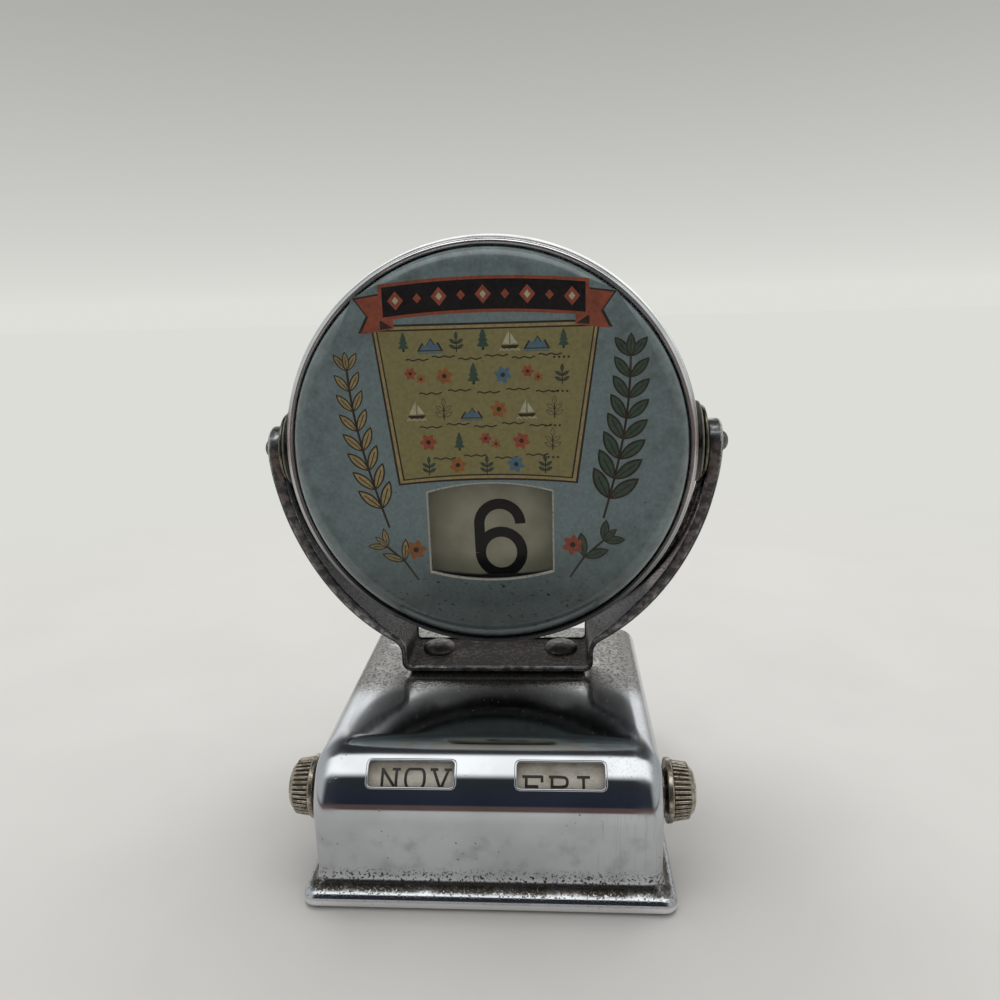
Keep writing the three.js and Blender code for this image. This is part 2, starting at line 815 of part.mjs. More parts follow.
// A dished ring: its face rises towards the middle as a parabola
function dishedRing(bore, radius, start, rise, thickness) {
  const level = (r) => start + rise * (1 - (r / radius) ** 2);
  const radii = Array.from({ length: dishSteps + 1 }, (_, i) => bore + ((radius - bore) * i) / dishSteps);
  const under = radii.map((r) => [r, level(r)]);
  const over = radii.map((r) => [r, level(r) + thickness]).reverse();
  return turned([...under, ...over, under[0]], mediumSegments, 'x');
}

function pivotRivet() {
  const tailEnd = drumRadius - drumSheet - fitGap;
  const shoulder = armRadius + seatGap;
  const profile = [
    [0, tailEnd - pivotTailHeight],
    [pivotTailRadius, tailEnd - pivotTailHeight],
    [pivotTailRadius, tailEnd],
    [pivotShankRadius, tailEnd],
    [pivotShankRadius, shoulder],
    [pivotHeadRadius, shoulder],
    ...domeProfile(pivotHeadRadius, shoulder, pivotHeadHeight),
  ];
  return turned(profile, smallSegments, 'x');
}

// The spacer ends short of the arm by as much as the arm curves in over the spacer's width
function pivotSpacer() {
  const armFace = Math.sqrt(armInner ** 2 - pivotSpacerRadius ** 2);
  const start = springWasherEnd + seatGap;
  return ringOf(pivotBore, pivotSpacerRadius, start, armFace - fitGap, smallSegments, 'x');
}

const pivotPieces = [
  ['pivot_rivet', pivotRivet(), 'tarnishedSteel'],
  ['pivot_spacer', pivotSpacer(), 'brass'],
  ['pivot_cup', dishedRing(pivotBore, cupRadius, cupStart, cupRise, cupThickness), 'springSteel'],
  [
    'spring_washer',
    dishedRing(pivotBore, springWasherRadius, springWasherStart, springWasherRise, springWasherThickness),
    'brass',
  ],
];

for (const [piece, geometry, finish] of pivotPieces) {
  const right = geometry.clone().translate(0, pivotY, pivotZ);
  place(calendar, `${piece}_right`, solid(right), finish);
  place(calendar, `${piece}_left`, solid(mirroredInX(right)), finish);
}

// Head: its pieces are drawn about the middle of the drum

// Radius of the barrel at a depth
function drumProfileRadius(along) {
  const past = Math.max(0, Math.abs(along) - drumShoulderStart) / (drumHalfDepth - drumShoulderStart);
  return drumRadius - drumRimDrop * (1 - Math.sqrt(Math.max(0, 1 - past ** 2)));
}

function drumBand() {
  const outerRim = drumProfileRadius(drumHalfDepth);
  const outside = Array.from({ length: barrelSteps + 1 }, (_, i) => {
    const share = Math.sin(((i / barrelSteps) * 2 - 1) * (Math.PI / 2));
    return [drumProfileRadius(share * drumHalfDepth), share * drumHalfDepth];
  });
  const insideEnd = drumHalfDepth - drumSheet;
  const inside = [
    [rimInnerRadius, insideEnd],
    [outerRim - drumSheet / 2, insideEnd],
    [drumRadius - drumSheet, drumShoulderStart],
    [drumRadius - drumSheet, -drumShoulderStart],
    [outerRim - drumSheet / 2, -insideEnd],
    [rimInnerRadius, -insideEnd],
  ];
  const start = [rimInnerRadius, -drumHalfDepth];
  const profile = [start, ...outside, [rimInnerRadius, drumHalfDepth], ...inside, start];
  let body = solid(turned(profile, fineSegments, 'y'));
  const bore = rod(pivotBore, -drumRadius - cutOverrun, drumRadius + cutOverrun, smallSegments, 'x');
  body = body.subtract(solid(bore));
  return body;
}

// The opening in the cover: straight sides, ends that bow out
function dateWindow(margin) {
  const half = dateWindowHalfWidth + margin;
  const top = dateWindowTop + margin;
  const bottom = dateWindowBottom - margin;
  const bow = (share) => dateWindowBulge * (1 - share ** 2);
  const steps = Array.from({ length: bowSteps + 1 }, (_, i) => (i / bowSteps) * 2 - 1);
  return [
    ...steps.map((share) => new THREE.Vector2(share * half, bottom - bow(share))),
    ...steps.map((share) => new THREE.Vector2(-share * half, top + bow(share))),
  ];
}

function cover() {
  const shoulder = (inset) => Array.from({ length: domeSteps + 1 }, (_, i) => {
    const angle = (1 - i / domeSteps) * (Math.PI / 2);
    return [
      coverFlatRadius + (coverShoulder - inset) * Math.cos(angle),
      -(coverShoulderStart + (coverRise - inset) * Math.sin(angle)),
    ];
  });
  const skirtEnd = -(coverShoulderStart - coverSkirt);
  const profile = [
    [0, -coverFace],
    ...shoulder(0),
    [coverRadius, skirtEnd],
    [coverRadius - coverSheet, skirtEnd],
    ...shoulder(coverSheet).reverse(),
    [0, -(coverFace - coverSheet)],
  ];
  const disc = solid(turned(profile, fineSegments, 'y'));
  const opening = acrossDepth(dateWindow(0), -coverFace - cutOverrun, -coverFace + cutOverrun);
  return surface(disc.subtract(solid(opening)));
}

// A pan behind the cover that guides the edges of the tiles and holds them back from the window
function tileFrame() {
  const front = -(coverFace - coverSheet - runningGap);
  const plateBack = -(stackHalfDepth + runningGap);
  const plateFront = plateBack - frameSheet;
  const middle = -seatGap;
  let body = solid(box(-frameOutside, frameOutside, plateFront, plateBack, -frameEnd, frameEnd));
  const walls = [
    box(-frameOutside, -frameInside, front, middle, -frameEnd, frameEnd),
    box(frameInside, frameOutside, front, middle, -frameEnd, frameEnd),
    box(-frameOutside, frameOutside, plateFront, middle, -frameEnd, -wellHalfLength),
    box(-frameOutside, frameOutside, plateFront, middle, wellHalfLength, frameEnd),
  ];
  for (const wall of walls) body = body.add(solid(wall));
  const opening = acrossDepth(dateWindow(frameWindowMargin), plateFront - cutOverrun, plateBack + fitGap);
  return surface(body.subtract(solid(opening)));
}

function dateTile(index) {
  const half = tileWidth / 2;
  const top = tileBottom + tileHeight;
  const outline = [
    [-half + tileCornerCut, tileBottom],
    [half - tileCornerCut, tileBottom],
    [half, tileBottom + tileCornerCut],
    [half, top - tileCornerCut],
    [half - tileCornerCut, top],
    [-half + tileCornerCut, top],
    [-half, top - tileCornerCut],
    [-half, tileBottom + tileCornerCut],
  ].map(([x, z]) => new THREE.Vector2(x, z));
  const middle = -stackHalfDepth + tilePitch * (index + 1 / 2);
  return solid(acrossDepth(outline, middle - tileThickness / 2, middle + tileThickness / 2));
}

place(head, 'drum_band', drumBand(), 'satinChrome');
const frontCover = cover();
place(head, 'front_cover', solid(frontCover), 'printedTin');
place(head, 'back_cover', solid(turnedOver(frontCover)), 'printedTin');
const frontFrame = tileFrame();
place(head, 'front_tile_frame', solid(frontFrame), 'plainSteel');
place(head, 'back_tile_frame', solid(turnedOver(frontFrame)), 'plainSteel');
for (let i = 0; i < tileCount; i += 1) {
  place(head, `date_tile_${String(i + 1).padStart(2, '0')}`, dateTile(i), 'tile');
}

export default calendar;
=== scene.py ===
import json
import math
from functools import partial

import bmesh
import bpy
from mathutils import Matrix, Vector
from mathutils.geometry import delaunay_2d_cdt


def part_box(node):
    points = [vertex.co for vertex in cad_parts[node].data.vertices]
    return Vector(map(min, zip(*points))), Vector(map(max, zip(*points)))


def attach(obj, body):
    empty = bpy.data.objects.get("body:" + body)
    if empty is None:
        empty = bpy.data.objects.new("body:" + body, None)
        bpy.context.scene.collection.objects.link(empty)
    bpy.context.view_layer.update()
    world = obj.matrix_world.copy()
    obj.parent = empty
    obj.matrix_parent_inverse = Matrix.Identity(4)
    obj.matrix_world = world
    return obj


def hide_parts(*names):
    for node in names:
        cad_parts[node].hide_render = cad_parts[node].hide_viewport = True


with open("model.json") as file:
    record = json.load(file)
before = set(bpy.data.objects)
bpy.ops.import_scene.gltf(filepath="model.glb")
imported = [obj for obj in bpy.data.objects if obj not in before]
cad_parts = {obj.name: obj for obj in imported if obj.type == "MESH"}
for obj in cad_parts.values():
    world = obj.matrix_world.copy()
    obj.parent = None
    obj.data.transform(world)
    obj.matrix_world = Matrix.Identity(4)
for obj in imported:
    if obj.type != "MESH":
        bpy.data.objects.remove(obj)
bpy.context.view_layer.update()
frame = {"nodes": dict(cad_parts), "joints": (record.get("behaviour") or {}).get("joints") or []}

# Perpetual desk calendar: the looks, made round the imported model. Shapes are drawn in millimetres, in the
# frame's own axes, and become metres when a piece is made. Points nearer than SAME_POINT count as one.
MM = 0.001
TURN = 2 * math.pi
SAME_POINT = 1e-6
joint_place = {joint["name"]: joint.get("pos_m") for joint in frame["joints"]}
head = Vector(joint_place["head_turn"]) / MM
roller = Vector(joint_place["month_turn"]) / MM


def cad_box(node):
    """Lowest and highest corner of a CAD node, in millimetres."""
    low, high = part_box(node)
    return Vector(low) / MM, Vector(high) / MM


# Shapes

def arc(across, along, radius, start, end, steps, squash=1.0):
    """Points of a round stretch from one angle to another, in degrees."""
    points = []
    for i in range(steps + 1):
        angle = math.radians(start + (end - start) * i / steps)
        points.append((across + radius * math.cos(angle), along + radius * squash * math.sin(angle)))
    return points


def rounded_rectangle(left, right, low, high, radius, steps):
    """Points of a rectangle with round corners, anticlockwise from its lower right corner."""
    corners = [(right - radius, low + radius, -90), (right - radius, high - radius, 0),
               (left + radius, high - radius, 90), (left + radius, low + radius, 180)]
    return [point for x, y, start in corners for point in arc(x, y, radius, start, start + 90, steps)]


def revolve(profile, axis, centre, segments, closed=False):
    """Turns points of (radius, distance along the axis) about an axis through centre."""
    verts, rings = [], []
    for radius, along in profile:
        on_axis = radius < SAME_POINT
        rings.append([len(verts) + (0 if on_axis else i) for i in range(segments)])
        for i in range(1 if on_axis else segments):
            a, b = radius * math.cos(TURN * i / segments), radius * math.sin(TURN * i / segments)
            spot = {"x": (along, a, b), "y": (a, along, b), "z": (a, b, along)}[axis]
            verts.append(Vector(spot) + Vector(centre))
    pairs = list(zip(rings, rings[1:])) + ([(rings[-1], rings[0])] if closed else [])
    faces = []
    for one, two in pairs:
        for i in range(segments):
            j = (i + 1) % segments
            face = [one[i], one[j], two[j], two[i]]
            face = [v for k, v in enumerate(face) if v != face[k - 1]]
            if len(face) > 2:
                faces.append(face)
    return verts, faces


def join_rings(rings, capped=True, skip=()):
    """Joins rings of equally many points; skip holds the (ring, place) of faces that are left out."""
    count = len(rings[0])
    verts = [Vector(point) for ring in rings for point in ring]
    faces = []
    for k in range(len(rings) - 1):
        for i in range(count):
            if (k, i) not in skip:
                j = (i + 1) % count
                faces.append([k * count + i, k * count + j, (k + 1) * count + j, (k + 1) * count + i])
    if capped:
        faces.append(list(range(count))[::-1])
        faces.append(list(range(len(verts) - count, len(verts))))
    return verts, faces


def together(*parts):
    """Puts several (verts, faces) into one."""
    verts, faces = [], []
    for part_verts, part_faces in parts:
        faces += [[i + len(verts) for i in face] for face in part_faces]
        verts += list(part_verts)
    return verts, faces


def moved(part, change):
    """The same piece with each point put through a change."""
    return [Vector(change(v)) for v in part[0]], part[1]


def link_piece(name, mesh, smooth_angle):
    """Makes a mesh an object, closed and smooth with its faces outwards."""
    work = bmesh.new()
    work.from_mesh(mesh)
    bmesh.ops.remove_doubles(work, verts=work.verts, dist=SAME_POINT)
    bmesh.ops.recalc_face_normals(work, faces=work.faces)
    work.to_mesh(mesh)
    work.free()
    mesh.shade_smooth()
    mesh.set_sharp_from_angle(angle=math.radians(smooth_angle))
    piece = bpy.data.objects.new(name, mesh)
    bpy.context.scene.collection.objects.link(piece)
    return piece


def settle(piece, body, replaced=()):
    """Puts a piece on the body it rides on, and hides the CAD nodes that it stands for."""
    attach(piece, body)
    if replaced:
        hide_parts(*replaced)
    return piece


def make_piece(name, part, finish, body, replaced=(), inks=None, smooth_angle=38.0):
    """A finished piece. finish is one material or a list, with inks giving each face's place in it."""
    verts, faces = part
    mesh = bpy.data.meshes.new(name)
    mesh.from_pydata([Vector(v) * MM for v in verts], [], faces)
    for material in finish if isinstance(finish, list) else [finish]:
        mesh.materials.append(material)
    if inks:
        mesh.polygons.foreach_set("material_index", inks)
    return settle(link_piece(name, mesh, smooth_angle), body, replaced)


# Node trees. MIX picks a Mix node's colour: input 0 is its factor, and inputs 6 and 7 are the two colours.
MIX = {"out": 2, "data_type": "RGBA"}


def add_node(tree, kind, inputs=None, out=0, **settings):
    """Adds a node and gives back one of its outputs. An input is a plain value or another node's output."""
    node = tree.nodes.new(kind)
    for key, value in settings.items():
        setattr(node, key, value)
    for key, value in (inputs or {}).items():
        if isinstance(value, bpy.types.NodeSocket):
            tree.links.new(value, node.inputs[key])
        else:
            node.inputs[key].default_value = value
    return node if out is None else node.outputs[out]


def linear(code):
    """Linear colour of an sRGB hex value."""
    parts = [((code >> shift) & 255) / 255 for shift in (16, 8, 0)]
    return (*[c / 12.92 if c <= 0.04045 else ((c + 0.055) / 1.055) ** 2.4 for c in parts], 1.0)


class Finish:
    """A material in the making: its shader, and the place on the object in millimetres."""

    def __init__(self, name, **shader):
        self.material = bpy.data.materials.new(name)
        self.material.use_nodes = True
        self.tree = self.material.node_tree
        self.tree.nodes.clear()
        self.add = partial(add_node, self.tree)
        settings = {key.replace("_", " "): value for key, value in shader.items()}
        self.shader = self.add("ShaderNodeBsdfPrincipled", settings, None)
        self.add("ShaderNodeOutputMaterial", {"Surface": self.shader.outputs[0]}, None)
        spot = self.add("ShaderNodeTexCoord", None, "Object")
        self.place = self.add("ShaderNodeMapping", {"Vector": spot, "Scale": (1 / MM,) * 3})
        self.x, self.y, self.z = self.add("ShaderNodeSeparateXYZ", {0: self.place}, None).outputs

    def patches(self, size, low=0.35, high=0.65, detail=3.0, stretch=(1, 1, 1), shift=0.0, within=1.0):
        """Soft patches about size millimetres wide, from 0 to 1; low and high set how much they fill."""
        place = {"Vector": self.place, "Scale": stretch, "Location": (shift,) * 3}
        spot = self.add("ShaderNodeMapping", place)
        noise = self.add("ShaderNodeTexNoise", {"Vector": spot, "Scale": 1 / size, "Detail": detail})
        limits = {"Value": noise, "From Min": low, "From Max": high}
        share = self.add("ShaderNodeMapRange", limits, interpolation_type="SMOOTHSTEP")
        return self.add("ShaderNodeMath", {0: within, 1: share}, operation="MULTIPLY")

    def specks(self, spacing, size, shift=0.0, within=1.0):
        """Round specks of about size millimetres, one in each cell of spacing, from 0 to 1."""
        spot = self.add("ShaderNodeMapping", {"Vector": self.place, "Location": (shift,) * 3})
        cells = self.add("ShaderNodeTexVoronoi", {"Vector": spot, "Scale": 1 / spacing})
        edge = size / spacing
        share = self.add("ShaderNodeMapRange", {"Value": cells, "From Min": edge, "From Max": edge / 2})
        return self.add("ShaderNodeMath", {0: within, 1: share}, operation="MULTIPLY")

    def stretch_of(self, value, low, high, soft, within=1.0):
        """1 where value lies between low and high, falling off over soft millimetres on either side."""
        share = 1.0
        for start, end in ((low - soft, low), (high + soft, high)):
            limits = {"Value": value, "From Min": start, "From Max": end}
            side = self.add("ShaderNodeMapRange", limits, interpolation_type="SMOOTHSTEP")
            share = self.add("ShaderNodeMath", {0: share, 1: side}, operation="MULTIPLY")
        return self.add("ShaderNodeMath", {0: within, 1: share}, operation="MULTIPLY")

    def done(self, ground, layers, rough_where, smooth, rough, height, depth):
        """Links layers of (share, colour) over a ground colour, a roughness that goes from smooth to rough,
        and a relief of depth millimetres."""
        colour = linear(ground)
        for share, code in layers:
            colour = self.add("ShaderNodeMix", {0: share, 6: colour, 7: linear(code)}, **MIX)
        gloss = self.add("ShaderNodeMapRange", {"Value": rough_where, "To Min": smooth, "To Max": rough})
        bump = self.add("ShaderNodeBump", {"Height": height, "Distance": depth * MM, "Strength": 1.0})
        for socket, name in ((colour, "Base Color"), (gloss, "Roughness"), (bump, "Normal")):
            self.tree.links.new(socket, self.shader.inputs[name])
        return self.material


# Finishes. Colours are sRGB values, and sizes are in millimetres.

def bright_chrome():
    """Bright chrome plate on pressed steel: a mirror with fine upright wear at its right side, grey and
    speckled where rust has crept about the foot of the yoke, and pitted and grimy along the flare."""
    look = Finish("bright_chrome_plate", Metallic=1.0)
    flare_pits = look.patches(0.4, 0.53, 0.63, 5.0, within=look.stretch_of(look.z, 3.4, 5.4, 2.4))
    ridge = look.patches(6.0, 0.3, 0.5, 4.0, shift=37.0, within=look.stretch_of(look.z, 3.2, 3.9, 0.4))
    ridge_pits = look.patches(0.34, 0.36, 0.48, 5.0, shift=27.0, within=ridge)
    grime = look.patches(0.9, 0.25, 0.55, 5.0, shift=17.0, within=look.stretch_of(look.z, 3.4, 4.4, 0.5))
    # Painted highlight: the lip is tinted paler than the rest of the plate.
    lip = look.stretch_of(look.z, 0.0, 1.5, 0.3)
    upper = look.stretch_of(look.z, 26.4, 30.0, 0.9)
    top = look.stretch_of(look.y, 2.0, 34.0, 10.0, upper)
    bloom = look.patches(6.0, 0.2, 0.42, 5.0, shift=53.0, within=top)
    grain = look.patches(0.45, 0.45, 0.62, 8.0, within=bloom)
    right_side = look.stretch_of(look.x, 22.0, 31.5, 6.0)
    side = look.add("ShaderNodeMath", {0: look.x}, operation="ABSOLUTE")
    shoulder = look.stretch_of(side, 28.0, 32.0, 3.0, look.stretch_of(look.z, 17.0, 28.0, 3.0))
    streaks = look.patches(0.4, 0.5, 0.9, 4.0, stretch=(1.0, 1.0, 0.04), within=right_side)
    spots = look.specks(1.5, 0.2, within=look.patches(5.0, 0.5, 0.64, shift=31.0))
    pits = flare_pits
    for more in (ridge_pits, spots):
        pits = look.add("ShaderNodeMath", {0: pits, 1: more}, operation="MAXIMUM")
    haze = look.patches(9.0, 0.3, 0.75, 4.0)
    smudges = look.patches(4.0, 0.46, 0.8, 7.0, shift=71.0, within=look.stretch_of(look.z, 5.0, 13.0, 2.0))
    dull = pits
    for wear, share in ((bloom, 0.5), (grain, 0.4), (grime, 0.5), (streaks, 0.3), (shoulder, 0.3),
                        (upper, 0.1), (lip, 0.3)):
        dull = look.add("ShaderNodeMath", {0: wear, 1: share, 2: dull}, operation="MULTIPLY_ADD")
    layers = [(haze, 0xB8BBBF), (streaks, 0x9FA0A3), (smudges, 0xA6A8AB), (lip, 0xF0F0F2), (bloom, 0x93928F),
              (grain, 0x64615C), (grime, 0x75716A), (pits, 0x403B35)]
    return look.done(0xC6CACE, layers, dull, 0.07, 0.42, pits, -0.01)


def satin_chrome():
    """Chrome plate over a rolled band, dulled by handling: a soft sheen with fine lines round the barrel,
    and a painted shade that darkens it underneath."""
    look = Finish("satin_chrome_plate", Metallic=1.0)
    lines = look.patches(0.35, 0.2, 0.8, 4.0, stretch=(0.12, 1.0, 0.12))
    haze = look.patches(7.0, 0.3, 0.7)
    spots = look.specks(1.3, 0.18, within=look.patches(5.0, 0.5, 0.7, shift=12.0))
    # Painted shade: the band grows darker downwards from just above the middle of the head.
    limits = {"Value": look.z, "From Min": head.z + 4.0, "From Max": head.z - 30.0}
    under = look.add("ShaderNodeMapRange", limits)
    layers = [(haze, 0xD4D5D6), (under, 0x5A5B5B), (spots, 0x3A3633)]
    return look.done(0xF0F1F1, layers, lines, 0.16, 0.3, lines, 0.003)


def tarnished_plate():
    """Worn plate on strap steel: dark grey along the arms, paler by the pivots, paler inside the right arm
    with worn plate and painted light on a face that lies in shade, and mottled with brown on the foot where
    the plate has gone."""
    look = Finish("tarnished_plate", Metallic=0.8)
    low_part = look.stretch_of(look.z, 20.0, 30.0, 7.0)
    limits = {"Value": look.z, "From Min": head.z - 8.0, "From Max": head.z + 1.0}
    pivot_part = look.add("ShaderNodeMapRange", limits)
    # A pale patch inside the right arm: partly worn plate, partly painted light on a face that lies in shade.
    middle = (0.0, 0.0, head.z)
    arm = cad_box("yoke")[1].x
    flat = look.add("ShaderNodeCombineXYZ", {0: look.x, 2: look.z})
    from_pivot = look.add("ShaderNodeVectorMath", {0: flat, 1: middle}, "Value", operation="DISTANCE")
    limits = {"Value": from_pivot, "From Min": arm - 0.3, "From Max": arm - 0.7}
    inner_face = look.add("ShaderNodeMapRange", limits)
    inner_face = look.stretch_of(look.y, head.y - 3.6, head.y + 3.6, 0.3, inner_face)
    right_arm = look.stretch_of(look.x, 27.0, arm, 5.0, inner_face)
    worn_and_painted_light = look.stretch_of(look.z, head.z - 30.0, head.z - 13.0, 3.0, right_arm)
    worn_and_painted_light = look.patches(1.2, 0.2, 0.5, 7.0, shift=83.0, within=worn_and_painted_light)
    haze = look.patches(9.0, 0.25, 0.75, 4.0)
    bloom = look.patches(1.1, 0.46, 0.6, 8.0, within=low_part)
    shade = look.patches(3.4, 0.46, 0.66, 6.0, shift=61.0, within=low_part)
    rust = look.patches(0.7, 0.56, 0.66, 6.0, shift=23.0, within=low_part)
    grain = look.patches(0.35, 0.47, 0.68, 6.0)
    pale = look.patches(0.4, 0.56, 0.7, 6.0, shift=7.0, within=look.patches(4.0, 0.46, 0.66, shift=3.0))
    dull = look.add("ShaderNodeMath", {0: low_part, 1: 0.7, 2: grain}, operation="MULTIPLY_ADD")
    layers = [(haze, 0x4A4C4D), (pivot_part, 0xC6C7C4), (worn_and_painted_light, 0xD8CDCA), (low_part, 0x2A2420),
              (bloom, 0x5E5349), (shade, 0x1A1613), (rust, 0x3D2B1F), (grain, 0x1A1A1A), (pale, 0x969693)]
    return look.done(0x3C3E40, layers, dull, 0.34, 0.62, grain, 0.008)


def two_tone(name, tones, pattern, smooth, rough, depth, **shader):
    """A plain finish: patches of a second tone on a first one, with their own roughness and relief."""
    look = Finish(name, **shader)
    patch = look.patches(*pattern)
    return look.done(tones[0], [(patch, tones[1])], patch, smooth, rough, patch, depth)


def aged_brass(name, bright, dark):
    """Brass gone dull: warm, with dark stains and fine grain."""
    look = Finish(name, Metallic=1.0)
    stain = look.patches(1.8, 0.36, 0.7, 6.0)
    return look.done(bright, [(stain, dark)], stain, 0.26, 0.48, look.patches(0.2, 0.3, 0.7), 0.005)


def worn_nickel():
    """Nickel plate on brass, worn to brown, with dark specks, and brown grime between the grip's ribs."""
    look = Finish("worn_nickel_plate", Metallic=1.0)
    stain = look.patches(1.2, 0.4, 0.68, 6.0)
    spots = look.specks(0.7, 0.14, within=look.patches(2.5, 0.45, 0.7, shift=5.0))
    across = look.add("ShaderNodeMath", {0: look.x}, operation="ABSOLUTE")
    flat = look.add("ShaderNodeCombineXYZ", {0: look.y, 1: look.z})
    axis = (roller.y, roller.z, 0.0)
    from_axis = look.add("ShaderNodeVectorMath", {0: flat, 1: axis}, "Value", operation="DISTANCE")
    level = look.add("ShaderNodeMath", {0: across, 1: grip_taper, 2: from_axis}, operation="MULTIPLY_ADD")
    limits = {"Value": level, "From Min": grip_level + 0.2, "From Max": grip_level}
    hollow = look.add("ShaderNodeMapRange", limits)
    grime = look.stretch_of(across, flange_end + 0.1, grip_end, 0.1, hollow)
    wear = look.add("ShaderNodeMath", {0: stain, 1: grime}, operation="MAXIMUM")
    layers = [(stain, 0x7F7464), (spots, 0x2A241D), (grime, 0x665C4D)]
    return look.done(0xB1AA9E, layers, wear, 0.24, 0.5, spots, -0.015)


def printed_tin(name, ink, faded, varnish=0.35):
    """Lithographed tin under varnish: flat ink with a faint mottle, dirt towards the rim, a painted shade
    over the lower part, nicks and hairline scratches, and what gloss the varnish has kept."""
    look = Finish(name, Coat_Weight=varnish, Coat_Roughness=0.08, IOR=1.5, Specular_IOR_Level=0.25)
    mottle = look.patches(0.7, 0.3, 0.7, 6.0)
    flat = look.add("ShaderNodeCombineXYZ", {0: look.x, 2: look.z})
    radius = look.add("ShaderNodeVectorMath", {0: flat, 1: (0.0, 0.0, head.z)}, "Value", operation="DISTANCE")
    rim = look.add("ShaderNodeMapRange", {"Value": radius, "From Min": 24.0, "From Max": 39.0, "To Max": 0.5})
    dirt = look.patches(3.0, 0.35, 0.8, 7.0, shift=19.0, within=rim)
    # Painted shade: the print grows darker downwards from below the middle of the head.
    limits = {"Value": look.z, "From Min": head.z - 12.0, "From Max": head.z - 34.0, "To Max": 0.72}
    painted_shade_low = look.add("ShaderNodeMapRange", limits, interpolation_type="SMOOTHSTEP")
    low = look.patches(1.3, 0.6, 0.7, 6.0, (1.0, 1.0, 2.0))
    low = look.stretch_of(look.z, head.z - 38.0, head.z - 28.0, 5.0, low)
    nicks = look.specks(1.9, 0.17, 41.0, look.patches(6.0, 0.5, 0.66, shift=41.0))
    nicks = look.add("ShaderNodeMath", {0: low, 1: nicks}, operation="MAXIMUM")
    scratched = look.patches(7.0, 0.5, 0.7, shift=2.0)
    scratch = look.patches(0.12, 0.7, 0.76, 2.0, stretch=(1.0, 1.0, 0.02), within=scratched)
    layers = [(mottle, faded), (dirt, 0x2E2820), (painted_shade_low, 0x28302E), (nicks, 0x1A1714),
              (scratch, 0x9AA09C)]
    return look.done(ink, layers, dirt, 0.3, 0.6, look.patches(11.0, 0.2, 0.8, 1.0), 0.02)


def stoved_enamel():
    """Stoved enamel on a tin tile: off-white, slightly yellowed, with specks of dust here and there."""
    look = Finish("stoved_enamel", Coat_Weight=0.1, Coat_Roughness=0.2, IOR=1.5, Specular_IOR_Level=0.2)
    age = look.patches(5.0, 0.3, 0.7, 4.0)
    dust = look.specks(1.4, 0.1, within=look.patches(3.0, 0.5, 0.7))
    return look.done(0x94927F, [(age, 0x868471), (dust, 0x4E4A40)], age, 0.4, 0.52, age, 0.006)


def aged_paper():
    """Printed paper strip gone yellow: matt, fibrous, browner in patches."""
    look = Finish("aged_paper", IOR=1.45)
    fibre = look.patches(0.25, 0.3, 0.7, 5.0, stretch=(0.35, 1.0, 1.0))
    foxing = look.patches(2.4, 0.45, 0.8, 5.0, shift=9.0)
    return look.done(0xBEB9AE, [(fibre, 0xB0AA9E), (foxing, 0x9C927F)], fibre, 0.75, 0.9, fibre, 0.01)


# The knobs' grip: a core that narrows outwards, with ribs standing on it
flange_end = cad_box("weekday_knob")[0].x + 1.1
grip_end = flange_end + 3.05
grip_core = (4.95, 4.6)
grip_taper = (grip_core[0] - grip_core[1]) / (grip_end - flange_end)
grip_level = grip_core[0] + grip_taper * flange_end

chrome = bright_chrome()
band_chrome = satin_chrome()
strap_plate = tarnished_plate()
washer_brass = aged_brass("aged_washer_brass", 0x84816F, 0x646150)
turned_brass = aged_brass("turned_brass", 0xA68F52, 0x6E5D35)
nickel = worn_nickel()
enamel = stoved_enamel()
paper = aged_paper()

# Plain finishes: two tones, the patches' size, low, high and detail, the roughness range and the relief
# Strap edges: paler with wear, and paler still as a painted highlight along them.
strap_edge = two_tone("worn_strap_edge_painted_highlight", (0x5C5D5D, 0xA0A1A1), (1.3, 0.4, 0.66, 6.0), 0.42, 0.26, 0.006,
                      Metallic=1.0)
rivet_grey = two_tone("rivet_steel", (0x666461, 0x8C8985), (1.0, 0.4, 0.7, 5.0), 0.52, 0.4, 0.008,
                      Metallic=0.85)
spring_steel = two_tone("dull_spring_steel", (0x7D7D74, 0x4C4C48), (1.5, 0.45, 0.8, 5.0), 0.5, 0.4, 0.005,
                        Metallic=0.6)
rolling_marks = (0.5, 0.3, 0.7, 4.0, (0.1, 1.0, 1.0))
sheet_steel, tinned_sheet, oiled_sheet = [
    two_tone(name, tones, rolling_marks, 0.3, 0.46, 0.003, Metallic=1.0)
    for name, tones in (("bare_sheet_steel", (0x9C9E9F, 0x7E7F80)), ("tinned_sheet", (0xA9ABAC, 0x8A8C8D)),
                        ("oiled_sheet_steel", (0x57554F, 0x403E3A)))]
cut_tin = two_tone("cut_tin_edge", (0xA09E96, 0x74716A), (0.5, 0.5, 0.75, 5.0), 0.45, 0.6, 0.004,
                   Metallic=0.2, IOR=1.5)
numeral_ink, letter_ink = [
    two_tone(name, tones, (0.5, 0.4, 0.75, 5.0), 0.42, 0.6, 0.004, IOR=1.5)
    for name, tones in (("black_numeral_ink", (0x111112, 0x1C1B1B)),
                        ("brown_black_letter_ink", (0x14100D, 0x2A211B)))]
felt = two_tone("pressed_felt", (0x2C4636, 0x3F5E4B), (0.4, 0.3, 0.7, 6.0), 0.85, 1.0, 0.08,
                IOR=1.45, Sheen_Weight=0.4)


